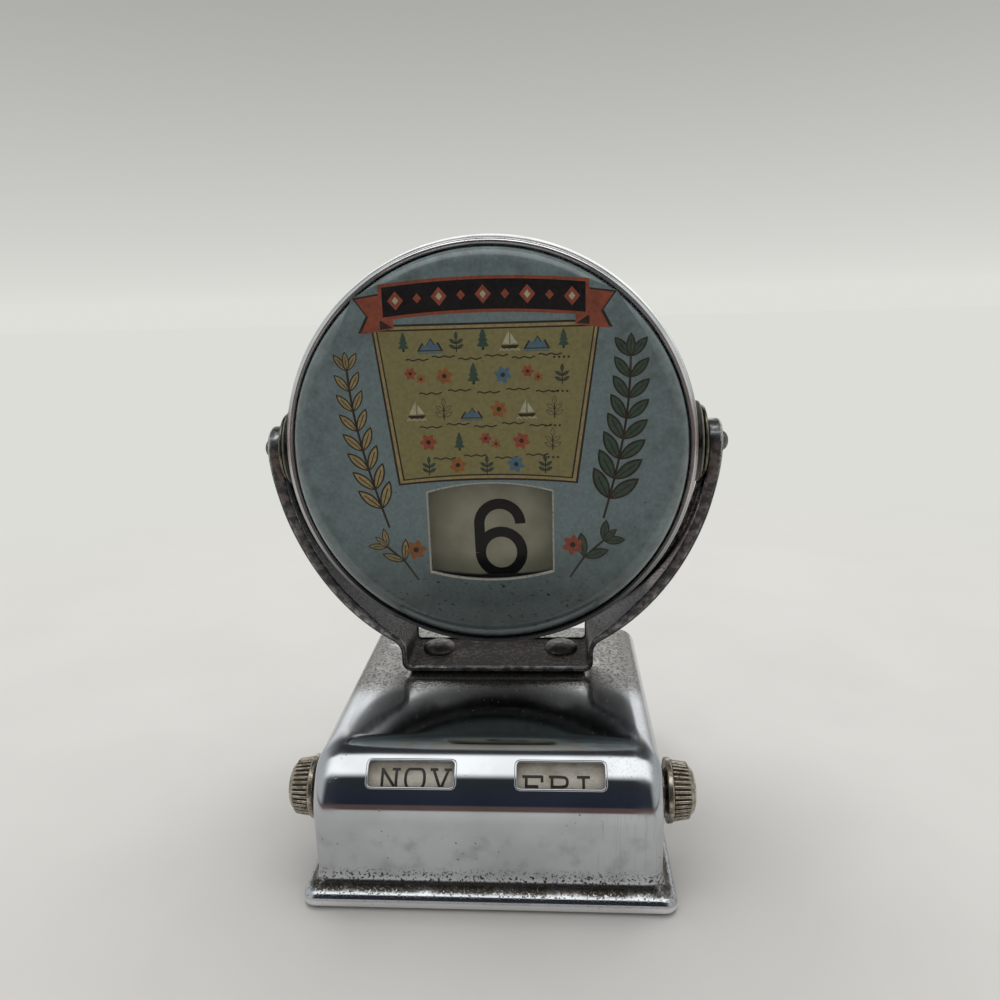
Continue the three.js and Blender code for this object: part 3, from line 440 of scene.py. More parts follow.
def grow(name, sizes, build, finish, body, replaced=(), smooth_angle=38.0):
    """A piece from a geometry node tree with named sizes in millimetres, baked to a plain mesh."""
    tree = bpy.data.node_groups.new(name, "GeometryNodeTree")
    tree.interface.new_socket("Geometry", in_out="OUTPUT", socket_type="NodeSocketGeometry")
    sockets = {label: tree.interface.new_socket(label, in_out="INPUT", socket_type="NodeSocketFloat")
               for label in sizes}
    size = add_node(tree, "NodeGroupInput", None, None).outputs
    real = add_node(tree, "GeometryNodeRealizeInstances", {0: build(partial(add_node, tree), size)})
    dressed = add_node(tree, "GeometryNodeSetMaterial", {"Geometry": real, "Material": finish})
    add_node(tree, "NodeGroupOutput", {0: dressed}, None)
    holder = bpy.data.objects.new(name, bpy.data.meshes.new(name))
    bpy.context.scene.collection.objects.link(holder)
    modifier = holder.modifiers.new(name, "NODES")
    modifier.node_group = tree
    for label, value in sizes.items():
        modifier[sockets[label].identifier] = float(value)
    grown = holder.evaluated_get(bpy.context.evaluated_depsgraph_get())
    mesh = bpy.data.meshes.new_from_object(grown)
    holder.modifiers.remove(modifier)
    bpy.data.objects.remove(holder)
    mesh.transform(Matrix.Scale(MM, 4))
    return settle(link_piece(name, mesh, smooth_angle), body, replaced)


# Case: a pressed shell whose front edge is rolled, with two punched windows

case_high = cad_box("base_shell")[1]
flange_reach = 2.35
side_wall = case_high.x - flange_reach
front_wall = case_high.y - flange_reach
case_top = 27.2
case_corner = 2.5
case_sheet = 0.8
roll_radius = case_top - roller.z
shoulder_radius = 4.2
lip_height = 1.5
lip_radius = 1.7
flare_radius = 3.1
flare_angle = math.degrees(math.acos(1 - flange_reach / (lip_radius + flare_radius)))
hem_reach = -0.85
hem_round = 0.4
hem_low = 0.4
corner_growth = 2.2
crown_inset = 1.0
window_width = 15.8
window_height = 4.9
window_spacing = 26.5
window_angle = 45.6
window_columns = [side * window_spacing / 2 + edge * window_width / 2
                  for side in (-1, 1) for edge in (-1, 1)]
window_starts = (0, 2)
corner_steps = 10
roll_steps = (18, 20, 22)


def case_level(height, front, sides, back, soften=0.0):
    """A level of the case. front, sides and back are how far each wall lies outside the plain walls, and
    soften, up to 1, is how much rounder the corners are."""
    corner = case_corner + min(0.0, max(sides, -1.0)) + corner_growth * soften
    low, high = -front_wall - front, front_wall + back
    outline = [(x, low) for x in window_columns]
    outline += rounded_rectangle(-side_wall - sides, side_wall + sides, low, high, corner, corner_steps)
    return [(x, y, height) for x, y in outline]


def roll_levels(inset):
    """Levels of the roll and the shoulders, drawn in from the outside by inset."""
    radius, shoulder = roll_radius - inset, shoulder_radius - inset
    half = math.degrees(math.asin(window_height / 2 / radius))
    marks = (0.0, window_angle - half, window_angle + half, 90.0)
    angles = [0.0]
    for start, end, steps in zip(marks, marks[1:], roll_steps):
        angles += [start + (end - start) * (i + 1) / steps for i in range(steps)]
    levels = []
    for angle in angles:
        turn = math.radians(angle)
        height = roller.z + radius * math.sin(turn)
        rise = min(max(0.0, height - (case_top - shoulder_radius)), shoulder)
        side = -inset - shoulder + math.sqrt(shoulder ** 2 - rise ** 2)
        levels.append((height, -inset - radius * (1 - math.cos(turn)), side, side, math.sin(turn) ** 2))
    return levels


def case_shell():
    """One closed skin: inside top, inside walls, hem, lip, flare, outside walls, roll, outside top. Also the
    ink of each face: 1 inside, where the sheet isn't plated."""
    inside, outside = roll_levels(case_sheet), roll_levels(0.0)
    reach = flange_reach - case_sheet
    levels = [(inside[-1][0], *[value - crown_inset for value in inside[-1][1:4]], 1.0)]
    levels += inside[::-1]
    hem_top = hem_low + case_sheet
    for height, offset in ((lip_height + reach, -case_sheet), (lip_height, reach), (hem_top, reach),
                           (hem_top, hem_reach), (hem_low, hem_reach)):
        levels.append((height, offset, offset, offset))
    flare_top = lip_height + (lip_radius + flare_radius) * math.sin(math.radians(flare_angle))
    turned = arc(flange_reach - hem_round, hem_low + hem_round, hem_round, -90, 0, 4)
    turned += arc(flange_reach - lip_radius, lip_height, lip_radius, 0, flare_angle, 12)
    turned += arc(flare_radius, flare_top, flare_radius, 180 + flare_angle, 180, 16)[1:]
    levels += [(height, across, across, across) for across, height in turned]
    first_inside, first_outside = len(inside), len(levels)
    levels += outside
    levels.append((outside[-1][0], *[value - crown_inset for value in outside[-1][1:4]], 1.0))
    inner_rings = first_outside - len(turned)
    low, high = roll_steps[0], roll_steps[0] + roll_steps[1]
    skip = {(first_inside - k - 1, column) for k in range(low, high) for column in window_starts}
    skip |= {(first_outside + k, column) for k in range(low, high) for column in window_starts}
    verts, faces = join_rings([case_level(*level) for level in levels], skip=skip)
    count = len(verts) // len(levels)
    for column in window_starts:
        inner = [first_inside - k for k in range(low, high + 1)]
        outer = [first_outside + k for k in range(low, high + 1)]
        one, two = [[k * count + column for k in rings] + [k * count + column + 1 for k in rings[::-1]]
                    for rings in (inner, outer)]
        for i in range(len(one)):
            j = (i + 1) % len(one)
            faces.append([one[i], one[j], two[j], two[i]])
    return (verts, faces), [int(min(face) < inner_rings * count) for face in faces]


pad_corner = 1.2
pad_half_width = 18.6
pad_half_depth = 9.8
pad_slope = [(1.1, 0.0), (0.7, 0.03), (0.35, 0.12), (0.1, 0.25), (-0.15, 0.36), (-0.5, 0.4)]


def foot_pad():
    """The raised place that the yoke's foot sits on, drawn up out of the top."""
    rings = []
    for out, rise in [(pad_slope[0][0], -case_sheet / 2)] + pad_slope:
        across, deep = pad_half_width + out, pad_half_depth + out
        corner = pad_corner + max(0.0, out)
        outline = rounded_rectangle(-across, across, head.y - deep, head.y + deep, corner, 6)
        rings.append([(x, y, case_top + rise) for x, y in outline])
    return join_rings(rings)


shell, shell_inks = case_shell()
pad = foot_pad()
make_piece("case_shell", together(shell, pad), [chrome, oiled_sheet], "case", ["base_shell"],
           shell_inks + [0] * len(pad[1]), smooth_angle=50)


def in_pair(add, spacing, middle, shape):
    """Two of a shape, side by side at a spacing about their middle."""
    apart = add("ShaderNodeCombineXYZ", {"X": spacing})
    start = add("ShaderNodeVectorMath", {0: apart, "Scale": -0.5}, operation="SCALE")
    start = add("ShaderNodeVectorMath", {0: start, 1: middle})
    places = add("GeometryNodeMeshLine", {"Count": 2, "Start Location": start, "Offset": apart})
    return add("GeometryNodeInstanceOnPoints", {"Points": places, "Instance": shape})


def window_rims(add, size):
    """Rolled edges of the two windows: drawn flat, then bent onto the roll."""
    opening = {"Width": size["Width"], "Height": size["Height"]}
    outline = add("GeometryNodeCurvePrimitiveQuadrilateral", opening)
    fillet = {"Curve": outline, "Radius": size["Corner"], "Count": 6}
    rounded = add("GeometryNodeFilletCurve", fillet, mode="POLY")
    fine = add("GeometryNodeResampleCurve", {"Curve": rounded, "Count": 120})
    section = add("GeometryNodeCurvePrimitiveCircle", {"Resolution": 10, "Radius": size["Bead"]})
    rim = add("GeometryNodeCurveToMesh", {"Curve": fine, "Profile Curve": section})
    real = add("GeometryNodeRealizeInstances", {0: in_pair(add, size["Spacing"], (0.0, 0.0, 0.0), rim)})
    spot = add("ShaderNodeSeparateXYZ", {0: add("GeometryNodeInputPosition")}, None).outputs
    angle = add("ShaderNodeMath", {0: spot["Y"], 1: size["Roll"]}, operation="DIVIDE")
    angle = add("ShaderNodeMath", {0: angle, 1: math.radians(window_angle)}, operation="ADD")
    reach = add("ShaderNodeMath", {0: size["Roll"], 1: spot["Z"]}, operation="ADD")
    shares = [add("ShaderNodeMath", {0: angle}, operation=kind) for kind in ("COSINE", "SINE")]
    out, rise = [add("ShaderNodeMath", {0: share, 1: reach}, operation="MULTIPLY") for share in shares]
    back = add("ShaderNodeMath", {0: roller.y, 1: out}, operation="SUBTRACT")
    height = add("ShaderNodeMath", {0: roller.z, 1: rise}, operation="ADD")
    bent = add("ShaderNodeCombineXYZ", {"X": spot["X"], "Y": back, "Z": height})
    return add("GeometryNodeSetPosition", {"Geometry": real, "Position": bent})


grow("window_rims", {"Width": window_width, "Height": window_height, "Corner": 0.8, "Bead": 0.27,
                     "Spacing": window_spacing, "Roll": roll_radius}, window_rims, chrome, "case")


# Yoke: one strap, flat at the foot, its edges turned in along the arms

yoke_low, yoke_high = cad_box("yoke")
strap_sheet = 1.0
foot_half_width = 8.0
arm_half_width = 4.6
foot_corner = pad_half_width + 1.8
foot_bend = 2.2
knee_bend = 3.2
knee_run = 1.85
arm_angle = math.radians(29)
arm_drop = 0.6
arm_radius = yoke_high.x
growth_length = 14.0
taper_length = 36.0
pivot_swell = 0.4
pivot_stretch = 12.0
edge_at_foot = 0.25
edge_growth = 1.15
end_steps = 14
end_step_degrees = 6.4
strap_round = 0.8
tip_round = 0.3


def strap_stations():
    """Stations of the right half: place, inward direction, half width, how far the edges are turned in, and
    the turn about the pivot, which rounds the end."""
    arm_start_z = head.z - arm_drop - arm_radius * math.cos(arm_angle)
    knee_z = arm_start_z - knee_run * math.tan(arm_angle)
    knee_turn = 90.0 - math.degrees(arm_angle)
    knee_length = knee_bend * math.tan(math.radians(knee_turn) / 2)
    path = [(x * (foot_corner - foot_bend) / 4, yoke_low.z) for x in range(4)]
    path += arc(foot_corner - foot_bend, yoke_low.z + foot_bend, foot_bend, -90, 0, 12)
    corner_end = len(path)
    path += arc(foot_corner + knee_bend, knee_z - knee_length, knee_bend, 180, 180 - knee_turn, 12)
    path += arc(0.0, head.z - arm_drop, arm_radius, math.degrees(arm_angle) - 90, 0, 48)
    path.append((arm_radius, head.z))
    stations, run = [], 0.0
    for i, (x, z) in enumerate(path):
        one, two = path[max(0, i - 1)], path[min(len(path) - 1, i + 1)]
        along = Vector((two[0] - one[0], two[1] - one[1])).normalized()
        if i in (0, len(path) - 1):
            along = Vector((1, 0)) if i == 0 else Vector((0, 1))
        if i > corner_end:
            run += math.dist((x, z), path[i - 1])
        eased, taper = [share * share * (3 - 2 * share)
                        for share in (min(1.0, run / growth_length), min(1.0, run / taper_length))]
        half = foot_half_width + (arm_half_width - foot_half_width) * taper
        near = min(1.0, max(0.0, 1 - (head.z - z) / pivot_stretch))
        swell = pivot_swell * near * near * (3 - 2 * near)
        edge = edge_at_foot + edge_growth * eased + swell
        stations.append((x + swell, z, Vector((-along.y, along.x)), half, edge, 0.0))
    turns = [math.radians(end_step_degrees * i) for i in range(1, end_steps + 1)]
    return stations + [(*stations[-1][:5], turn) for turn in turns]


def strap_section(half, edge):
    """Points of (across, rise) round the strap, and which of them lie on its edges, which carry wear and a
    painted highlight.
    """
    top = strap_sheet + edge
    bend = min(0.5, edge * 0.6)
    side = arc(half - strap_round, strap_round, strap_round, -90, 0, 5)
    tip = len(side)
    side += arc(half - tip_round, top - tip_round, tip_round, 0, 90, 4)
    side += arc(half - strap_sheet + tip_round, top - tip_round, tip_round, 90, 180, 4)
    tip_end = len(side)
    side += arc(half - strap_sheet - bend, strap_sheet + bend, bend, 0, -90, 4)
    side = [(max(0.01, across), rise) for across, rise in side]
    count = len(side)
    edges = set(range(tip - 2, tip_end)) | set(range(2 * count - 1 - tip_end, 2 * count - tip + 1))
    return side + [(-across, rise) for across, rise in side[::-1]], edges


def yoke_strap():
    """The strap and the ink of each face: 1 on the edges, which carry wear and a painted highlight."""
    rings, edges = [], set()
    stations = strap_stations()
    for mirror, row in ((-1, stations[:0:-1]), (1, stations)):
        for x, z, inward, half, edge, turn in row:
            section, edges = strap_section(half, edge)
            rings.append([(mirror * (x + inward.x * rise), head.y + across * math.cos(turn),
                           z + inward.y * rise + abs(across) * math.sin(turn)) for across, rise in section])
    count = len(rings[0])
    inks = [int(i % count in edges) for i in range(count * (len(rings) - 1))]
    return join_rings(rings), inks + [0, 0]


strap, strap_inks = yoke_strap()
make_piece("yoke_strap", strap, [strap_plate, strap_edge], "case", ["yoke"], strap_inks,
           smooth_angle=40)


def rivet_heads(add, size):
    """Round heads on two places: flattened balls, cut off at their seat."""
    ball = add("GeometryNodeMeshUVSphere", {"Segments": 40, "Rings": 24, "Radius": 1.0})
    spot = add("ShaderNodeSeparateXYZ", {0: add("GeometryNodeInputPosition")}, None).outputs
    above = add("ShaderNodeMath", {0: spot["Z"], 1: 0.0}, operation="MAXIMUM")
    seated = add("ShaderNodeCombineXYZ", {"X": spot["X"], "Y": spot["Y"], "Z": above})
    cut = add("GeometryNodeSetPosition", {"Geometry": ball, "Position": seated})
    scale = add("ShaderNodeCombineXYZ", {"X": size["Radius"], "Y": size["Radius"], "Z": size["Height"]})
    domed = add("GeometryNodeTransform", {"Geometry": cut, "Scale": scale})
    seat = add("ShaderNodeCombineXYZ", {"Y": size["Depth"], "Z": size["Seat"]})
    return in_pair(add, size["Spacing"], seat, domed)


rivet_low, rivet_high = cad_box("foot_rivet_right")
strap_top = yoke_low.z + strap_sheet
foot_rivet_radius = (rivet_high.x - rivet_low.x) / 2
grow("foot_rivet_heads", {"Radius": foot_rivet_radius, "Height": rivet_high.z - strap_top,
                          "Spacing": rivet_low.x + rivet_high.x, "Depth": (rivet_low.y + rivet_high.y) / 2,
                          "Seat": strap_top},
     rivet_heads, rivet_grey, "case")


# Pivots and knobs: turned pieces, drawn at the right and mirrored to the left

def turned_pair(names, profile, centre, finish, bodies, segments=72, closed=False):
    """The same turned piece on either side, each standing for a CAD node."""
    for name, body, sign in zip(names, bodies, (-1, 1)):
        part = moved(revolve(profile, "x", centre, segments, closed), lambda v: (sign * v.x, v.y, v.z))
        make_piece("fine_" + name, part, finish, body, [name], smooth_angle=32)


def dished(bore, radius, start, rise, sheet, steps=14):
    """Section of a dished disc whose edge is at start and whose middle stands out by rise."""
    bow = [(radius + (bore - radius) * i / steps, rise * math.sin(math.pi / 2 * i / steps))
           for i in range(steps + 1)]
    under = [(r, start + lift) for r, lift in bow]
    over = [(r, start + sheet + lift) for r, lift in bow[::-1]]
    return under + over[:-1] + arc(radius - sheet / 2, start + sheet / 2, sheet / 2, 90, -90, 6)[:-1]


# Sections of the turned pieces: points of (radius, distance from the middle of the object)
rivet_end = cad_box("pivot_rivet_right")[1].x
rivet_seat = arm_radius + pivot_swell
rivet_shank = 1.2
rivet_head = 2.0
rivet_rim = 0.4
rivet_bulge = (rivet_end - rivet_seat - rivet_rim) / rivet_head
rivet_section = [(0, 39.6), (2.1, 39.7), (2.1, 40.4), (rivet_shank, 40.4)]
rivet_section += [(rivet_shank, rivet_seat), (rivet_head, rivet_seat)]
rivet_section += arc(0, rivet_seat + rivet_rim, rivet_head, 0, 90, 12, rivet_bulge)
spacer_section = [(1.6, 43.4), (2.55, 43.35), (2.7, 43.5), (2.7, 44.45), (2.55, 44.6), (1.6, 44.6)]
washer_section = dished(bore=1.7, radius=7.3, start=42.35, rise=0.3, sheet=0.6)
cup_section = dished(bore=1.7, radius=8.2, start=41.5, rise=0.74, sheet=0.4)
bush_section = [(1.75, 29.45), (3.0, 29.45), (3.0, 31.2)] + arc(4.1, 31.4, 0.2, -90, 0, 3)
bush_section += arc(3.9, 31.75, 0.4, 0, 90, 5) + [(1.75, 32.15)]

knob_low, knob_high = cad_box("weekday_knob")
flange_radius = 5.85
inner_round = 0.25
outer_round = 0.4
dome_radius = 4.2
dome_base = grip_end + 0.3
knob_section = [(0, knob_low.x), (flange_radius - inner_round, knob_low.x)]
knob_section += arc(flange_radius - inner_round, knob_low.x + inner_round, inner_round, -90, 0, 4)
knob_section += arc(flange_radius - outer_round, flange_end - outer_round, outer_round, 0, 90, 6)
knob_section += [(grip_core[0], flange_end + 0.05), (grip_core[1], grip_end)]
knob_section += arc(dome_radius + 0.05, dome_base - 0.1, 0.1, 0, 60, 2)
dome_turns = [math.radians(degrees) for degrees in range(84, -1, -7)]
knob_section += [(dome_radius * math.sin(turn), dome_base + (knob_high.x - dome_base) * math.cos(turn))
                 for turn in dome_turns]

pivot = (0, head.y, head.z)
roll_axis = (0, roller.y, roller.z)
both_case = ("case", "case")
both_head = ("head", "head")
both_rollers = ("month_roller", "weekday_roller")
turned_pair(("pivot_rivet_left", "pivot_rivet_right"), rivet_section, pivot, rivet_grey, both_case)
turned_pair(("pivot_spacer_left", "pivot_spacer_right"), spacer_section, pivot, turned_brass, both_case,
            closed=True)
turned_pair(("spring_washer_left", "spring_washer_right"), washer_section, pivot, washer_brass, both_case,
            closed=True)
turned_pair(("pivot_cup_left", "pivot_cup_right"), cup_section, pivot, spring_steel, both_head,
            closed=True)
turned_pair(("month_knob", "weekday_knob"), knob_section, roll_axis, nickel, both_rollers)
turned_pair(("month_wall_bush", "weekday_wall_bush"), bush_section, roll_axis, nickel, both_case,
            closed=True)


rib_count = 36


def grip_flutes(add, size):
    """Ribs round a knob's grip: round bars with tapering ends, set in a ring that narrows outwards."""
    bar = add("GeometryNodeMeshCylinder", {"Vertices": 12, "Side Segments": 14, "Radius": 1.0, "Depth": 2.0})
    spot = add("ShaderNodeSeparateXYZ", {0: add("GeometryNodeInputPosition")}, None).outputs
    far = add("ShaderNodeMath", {0: spot["Z"]}, operation="ABSOLUTE")
    end = add("ShaderNodeMapRange", {"Value": far, "From Min": 0.86, "From Max": 1.0, "To Max": 0.999})
    square = add("ShaderNodeMath", {0: end, 1: end}, operation="MULTIPLY")
    left = add("ShaderNodeMath", {0: 1.0, 1: square}, operation="SUBTRACT")
    width = add("ShaderNodeMath", {0: left}, operation="SQRT")
    width = add("ShaderNodeMath", {0: width, 1: size["Rib"]}, operation="MULTIPLY")
    half = add("ShaderNodeMath", {0: size["Length"], 1: 0.5}, operation="MULTIPLY")
    narrow = add("ShaderNodeCombineXYZ", {"X": width, "Y": width, "Z": half})
    place = add("GeometryNodeInputPosition")
    shaped = add("ShaderNodeVectorMath", {0: place, 1: narrow}, operation="MULTIPLY")
    rib = add("GeometryNodeSetPosition", {"Geometry": bar, "Position": shaped})
    ring = add("GeometryNodeMeshCircle", {"Vertices": rib_count, "Radius": size["Ring"]})
    ribs = add("GeometryNodeInstanceOnPoints", {"Points": ring, "Instance": rib})
    real = add("GeometryNodeRealizeInstances", {0: ribs})
    spot = add("ShaderNodeSeparateXYZ", {0: add("GeometryNodeInputPosition")}, None).outputs
    along = add("ShaderNodeMath", {0: spot["Z"], 1: size["Length"]}, operation="DIVIDE")
    taper = add("ShaderNodeMath", {0: along, 1: size["Taper"]}, operation="MULTIPLY")
    scale = add("ShaderNodeMath", {0: 1.0, 1: taper}, operation="SUBTRACT")
    out = add("ShaderNodeMath", {0: spot["Z"], 1: size["Middle"]}, operation="ADD")
    across = add("ShaderNodeMath", {0: out, 1: size["Side"]}, operation="MULTIPLY")
    deep = add("ShaderNodeMath", {0: spot["X"], 1: scale, 2: roller.y}, operation="MULTIPLY_ADD")
    high = add("ShaderNodeMath", {0: spot["Y"], 1: scale, 2: roller.z}, operation="MULTIPLY_ADD")
    turned = add("ShaderNodeCombineXYZ", {"X": across, "Y": deep, "Z": high})
    return add("GeometryNodeSetPosition", {"Geometry": real, "Position": turned})


for knob_name, knob_side in (("month", -1), ("weekday", 1)):
    grow(knob_name + "_knob_flutes", {"Rib": 0.3, "Length": 3.2, "Ring": 4.94, "Taper": 0.09,
                                      "Middle": (flange_end + grip_end) / 2, "Side": knob_side},
         grip_flutes, nickel, knob_name + "_roller", smooth_angle=60)


# Head: the drum band with its rolled rims

band_high = cad_box("drum_band")[1]
drum_radius = band_high.x
drum_half_depth = band_high.y - head.y
shoulder_start = 3.8
rim_drop = 1.4
barrel_edge = 8.1
bead_radius = 0.56
bead_middle = (39.72, 8.46)
groove_depth = 0.28
groove_width = 0.12
band_segments = 288


def barrel_radius(along):
    """Radius of the barrel, which bows down from its shoulders to the rims."""
    past = max(0.0, abs(along) - shoulder_start) / (drum_half_depth - shoulder_start)
    return drum_radius - rim_drop * (1 - math.sqrt(max(0.0, 1 - past ** 2)))


def drum_band(steps=20):
    """Section of the band: the barrel, a groove and a rolled bead at either edge, and the inside."""
    places = [barrel_edge * math.sin(math.pi / 2 * i / steps) for i in range(-steps, steps + 1)]
    barrel = [(barrel_radius(along), along) for along in places]
    groove = [(barrel_radius(barrel_edge) - groove_depth, barrel_edge + groove_width)]
    bead = arc(*bead_middle, bead_radius, 15, 180, 14)
    inside = [(39.16, 7.2), (40.2, 7.2), (drum_radius - 0.7, shoulder_start)]
    half = groove + bead + inside
    return barrel + half + [(r, -y) for r, y in half[::-1]]


make_piece("fine_drum_band", revolve(drum_band(), "y", head, band_segments, closed=True), band_chrome, "head",
           ["drum_band"])


# Covers: printed tin. The flat of each is cut up along the edges of its printed shapes, one ink to a face.

cover_face = head.y - cad_box("front_cover")[0].y
cover_flat = 35.6
cover_sheet = 0.5
cover_bend = 3.25
bend_depth = 2.5
bend_start = 8.7
cover_skirt = 6.8
cover_radius = cover_flat + cover_bend
cover_segments = 192
window_half = 12.2
window_low = -23.75
window_high = -7.5
window_bow = 1.72
print_precision = 1e-5
# Edge of the date window: how far it lies outside the window, and how deep under the face
window_edge = [(0.35, 0.0), (0.12, 0.08), (0.0, 0.28), (0.0, cover_sheet)]


def date_window(margin):
    """Outline of the date window: straight sides, and ends that bow out."""
    shares = [i / 8 - 1 for i in range(17)]
    half = window_half + margin
    low = [(s * half, window_low - margin - window_bow * (1 - s * s)) for s in shares]
    return low + [(-s * half, window_high + margin + window_bow * (1 - s * s)) for s in shares]


def inside(point, outline):
    """Whether a point is inside an outline."""
    x, z = point
    odd = False
    for (ax, az), (bx, bz) in zip(outline, outline[1:] + outline[:1]):
        if (az > z) != (bz > z) and x < (bx - ax) * (z - az) / (bz - az) + ax:
            odd = not odd
    return odd


def cover(painted):
    """One cover about the head's middle, facing -Y, and the ink of each face. painted is a list of
    (ink, outline), from the lowest to the topmost."""
    turns = [TURN * i / cover_segments for i in range(cover_segments)]
    rim = [(cover_flat * math.cos(turn), cover_flat * math.sin(turn)) for turn in turns]
    hole = date_window(window_edge[0][0])
    coords, edges = [], []
    for outline in [rim, hole] + [outline for _, outline in painted]:
        start = len(coords)
        coords += [Vector(point) for point in outline]
        edges += [(start + i, start + (i + 1) % len(outline)) for i in range(len(outline))]
    points, _, triangles, *_ = delaunay_2d_cdt(coords, edges, [], 0, print_precision)
    layers = [(ink, outline, [end(point[k] for point in outline) for k in (0, 1) for end in (min, max)])
              for ink, outline in painted]
    flat, flat_inks = [], []
    for face in triangles:
        x, z = sum((points[i] for i in face), Vector((0, 0))) / len(face)
        if inside((x, z), hole):
            continue
        ink = GROUND
        for layer_ink, outline, (x0, x1, z0, z1) in layers:
            if x0 < x < x1 and z0 < z < z1 and inside((x, z), outline):
                ink = layer_ink
        flat.append(list(face))
        flat_inks.append(ink)
    front = [Vector((p.x, -cover_face, p.y)) for p in points]
    inner_edge = {(round(a, 3), round(b, 3)): point for (a, b), point in zip(hole, date_window(0))}
    back = []
    for p in points:
        x, z = inner_edge.get((round(p.x, 3), round(p.y, 3)), (p.x, p.y))
        back.append(Vector((x, cover_sheet - cover_face, z)))
    inner_bend, inner_depth = cover_bend - cover_sheet, bend_depth - cover_sheet
    section = arc(cover_flat, bend_start, cover_bend, 90, 0, 12, bend_depth / cover_bend)
    section += [(cover_radius, cover_skirt), (cover_radius - cover_sheet, cover_skirt)]
    section += arc(cover_flat, bend_start, inner_bend, 0, 90, 10, inner_depth / inner_bend)
    section = [(r, -y) for r, y in section]
    wall = [[(x, depth - cover_face, z) for x, z in date_window(margin)] for margin, depth in window_edge]
    parts = [(front, flat), (back, flat), revolve(section, "y", (0, 0, 0), cover_segments),
             join_rings(wall, capped=False)]
    inks = flat_inks * 2 + [RIM] * len(parts[2][1]) + [CUT_EDGE] * len(parts[3][1])
    return together(*parts), inks


def placed(outline, x, z, size=1.0, angle=0.0):
    """An outline moved, turned by degrees and scaled."""
    c, s = math.cos(math.radians(angle)) * size, math.sin(math.radians(angle)) * size
    return [(x + a * c - b * s, z + a * s + b * c) for a, b in outline]


def leaf(x, z, length, angle, width=0.36):
    """A pointed leaf that starts at a place."""
    half = [(t / 8, width / 2 * math.sin(math.pi * t / 8) ** 0.8) for t in range(9)]
    return placed(half + [(a, -b) for a, b in half[-2:0:-1]], x, z, length, angle)


def disc(x, z, radius, steps=14):
    """A round spot."""
    circle = [(math.cos(TURN * i / steps), math.sin(TURN * i / steps)) for i in range(steps)]
    return placed(circle, x, z, radius)


def line(points, width):
    """A drawn line: its points run up one side and down the other."""
    one, two = [], []
    for i, point in enumerate(points):
        before, after = Vector(points[max(0, i - 1)]), Vector(points[min(len(points) - 1, i + 1)])
        along = (after - before).normalized() * width / 2
        one.append((point[0] - along.y, point[1] + along.x))
        two.append((point[0] + along.y, point[1] - along.x))
    return one + two[::-1]


# Inks of the print: name, colour, and colour where it has faded. After them come the cut edge and the rim.
GROUND, OLIVE, DARK, BANNER, RED, TAN, LEAF, PALE, BLUE, RUST, CUT_EDGE, RIM = range(12)
INKS = [("grey_blue_ground", 0x6C7B7D, 0x62706F), ("olive_panel", 0x7E784F, 0x736D4A),
        ("dark_outline", 0x2B2620, 0x38322A), ("black_banner", 0x151517, 0x1E1E20),
        ("red_brown", 0x8F4A35, 0x7A4234), ("tan_leaves", 0x93835B, 0x7E7050),
        ("dark_leaves", 0x34473C, 0x3D5045), ("pale_cream", 0xA7A48C, 0x959279),
        ("slate_blue", 0x4E6878, 0x46606E), ("rust_petals", 0x8C5A34, 0x7A5030)]
tin_inks = [printed_tin("printed_tin_" + ink_name, ink, faded) for ink_name, ink, faded in INKS]
tin_inks += [cut_tin, printed_tin("printed_tin_rim", *INKS[0][1:], varnish=1.0)]


def pine(x, z, size):
    """A pine of three boughs on a trunk."""
    shapes = [(DARK, placed([(-0.06, 0), (0.06, 0), (0.06, 0.3), (-0.06, 0.3)], x, z, size))]
    for low, half in ((0.18, 0.3), (0.42, 0.24), (0.64, 0.17)):
        bough = [(-half, low), (0, low - 0.05), (half, low), (0.03, low + 0.38), (-0.03, low + 0.38)]
        shapes.append((LEAF, placed(bough, x, z, size)))
    return shapes


def flower(x, z, size, ink, turn=0.0):
    """Six petals round a middle."""
    petals = [(ink, leaf(x, z, size, turn + 60 * k, 0.62)) for k in range(6)]
    return petals + [(DARK, disc(x, z, size * 0.26, 10))]


def sailing_boat(x, z, size):
    """A small boat with two sails on a row of waves."""
    hull = [(-0.5, 0.16), (-0.36, 0), (0.36, 0), (0.52, 0.18)]
    shapes = [(DARK, placed(hull, x, z, size))]
    for sail in ([(-0.03, 0.22), (-0.03, 0.95), (-0.4, 0.24)], [(0.05, 0.22), (0.05, 0.8), (0.42, 0.26)]):
        shapes.append((PALE, placed(sail, x, z, size)))
    for k in range(4):
        middle = 0.28 * (k - 1.5)
        wave = arc(middle, -0.14, 0.13, 0, 180, 6) + arc(middle, -0.14, 0.08, 180, 0, 6)
        shapes.append((PALE, placed(wave, x, z, size)))
    return shapes


def veined_leaf(x, z, length, angle, ink, width):
    """A leaf as a printer draws it: dark outline, ink and a dark midrib."""
    inner = placed([(0.07, 0.0)], x, z, length, angle)[0]
    rib = [placed([(t, 0.0)], x, z, length, angle)[0] for t in (0.05, 0.72)]
    blade = leaf(*inner, length * 0.84, angle, width * 0.82)
    return [(DARK, leaf(x, z, length, angle, width)), (ink, blade), (DARK, line(rib, length * 0.035))]


def branch(points, leaf_length, ink, width, spread=44):
    """A curved stem with leaves on either side of it, growing shorter to its tip."""
    shapes = [(DARK, line(points, 0.45))]
    for i in range(1, len(points)):
        (ax, az), (bx, bz) = points[i - 1], points[i]
        heading = math.degrees(math.atan2(bz - az, bx - ax))
        length = leaf_length * (1.0 - 0.4 * i / len(points))
        for side in (-1, 1):
            shapes += veined_leaf(bx, bz, length, heading + side * spread, ink, width)
    return shapes + veined_leaf(*points[-1], leaf_length * 0.6, heading, ink, width)


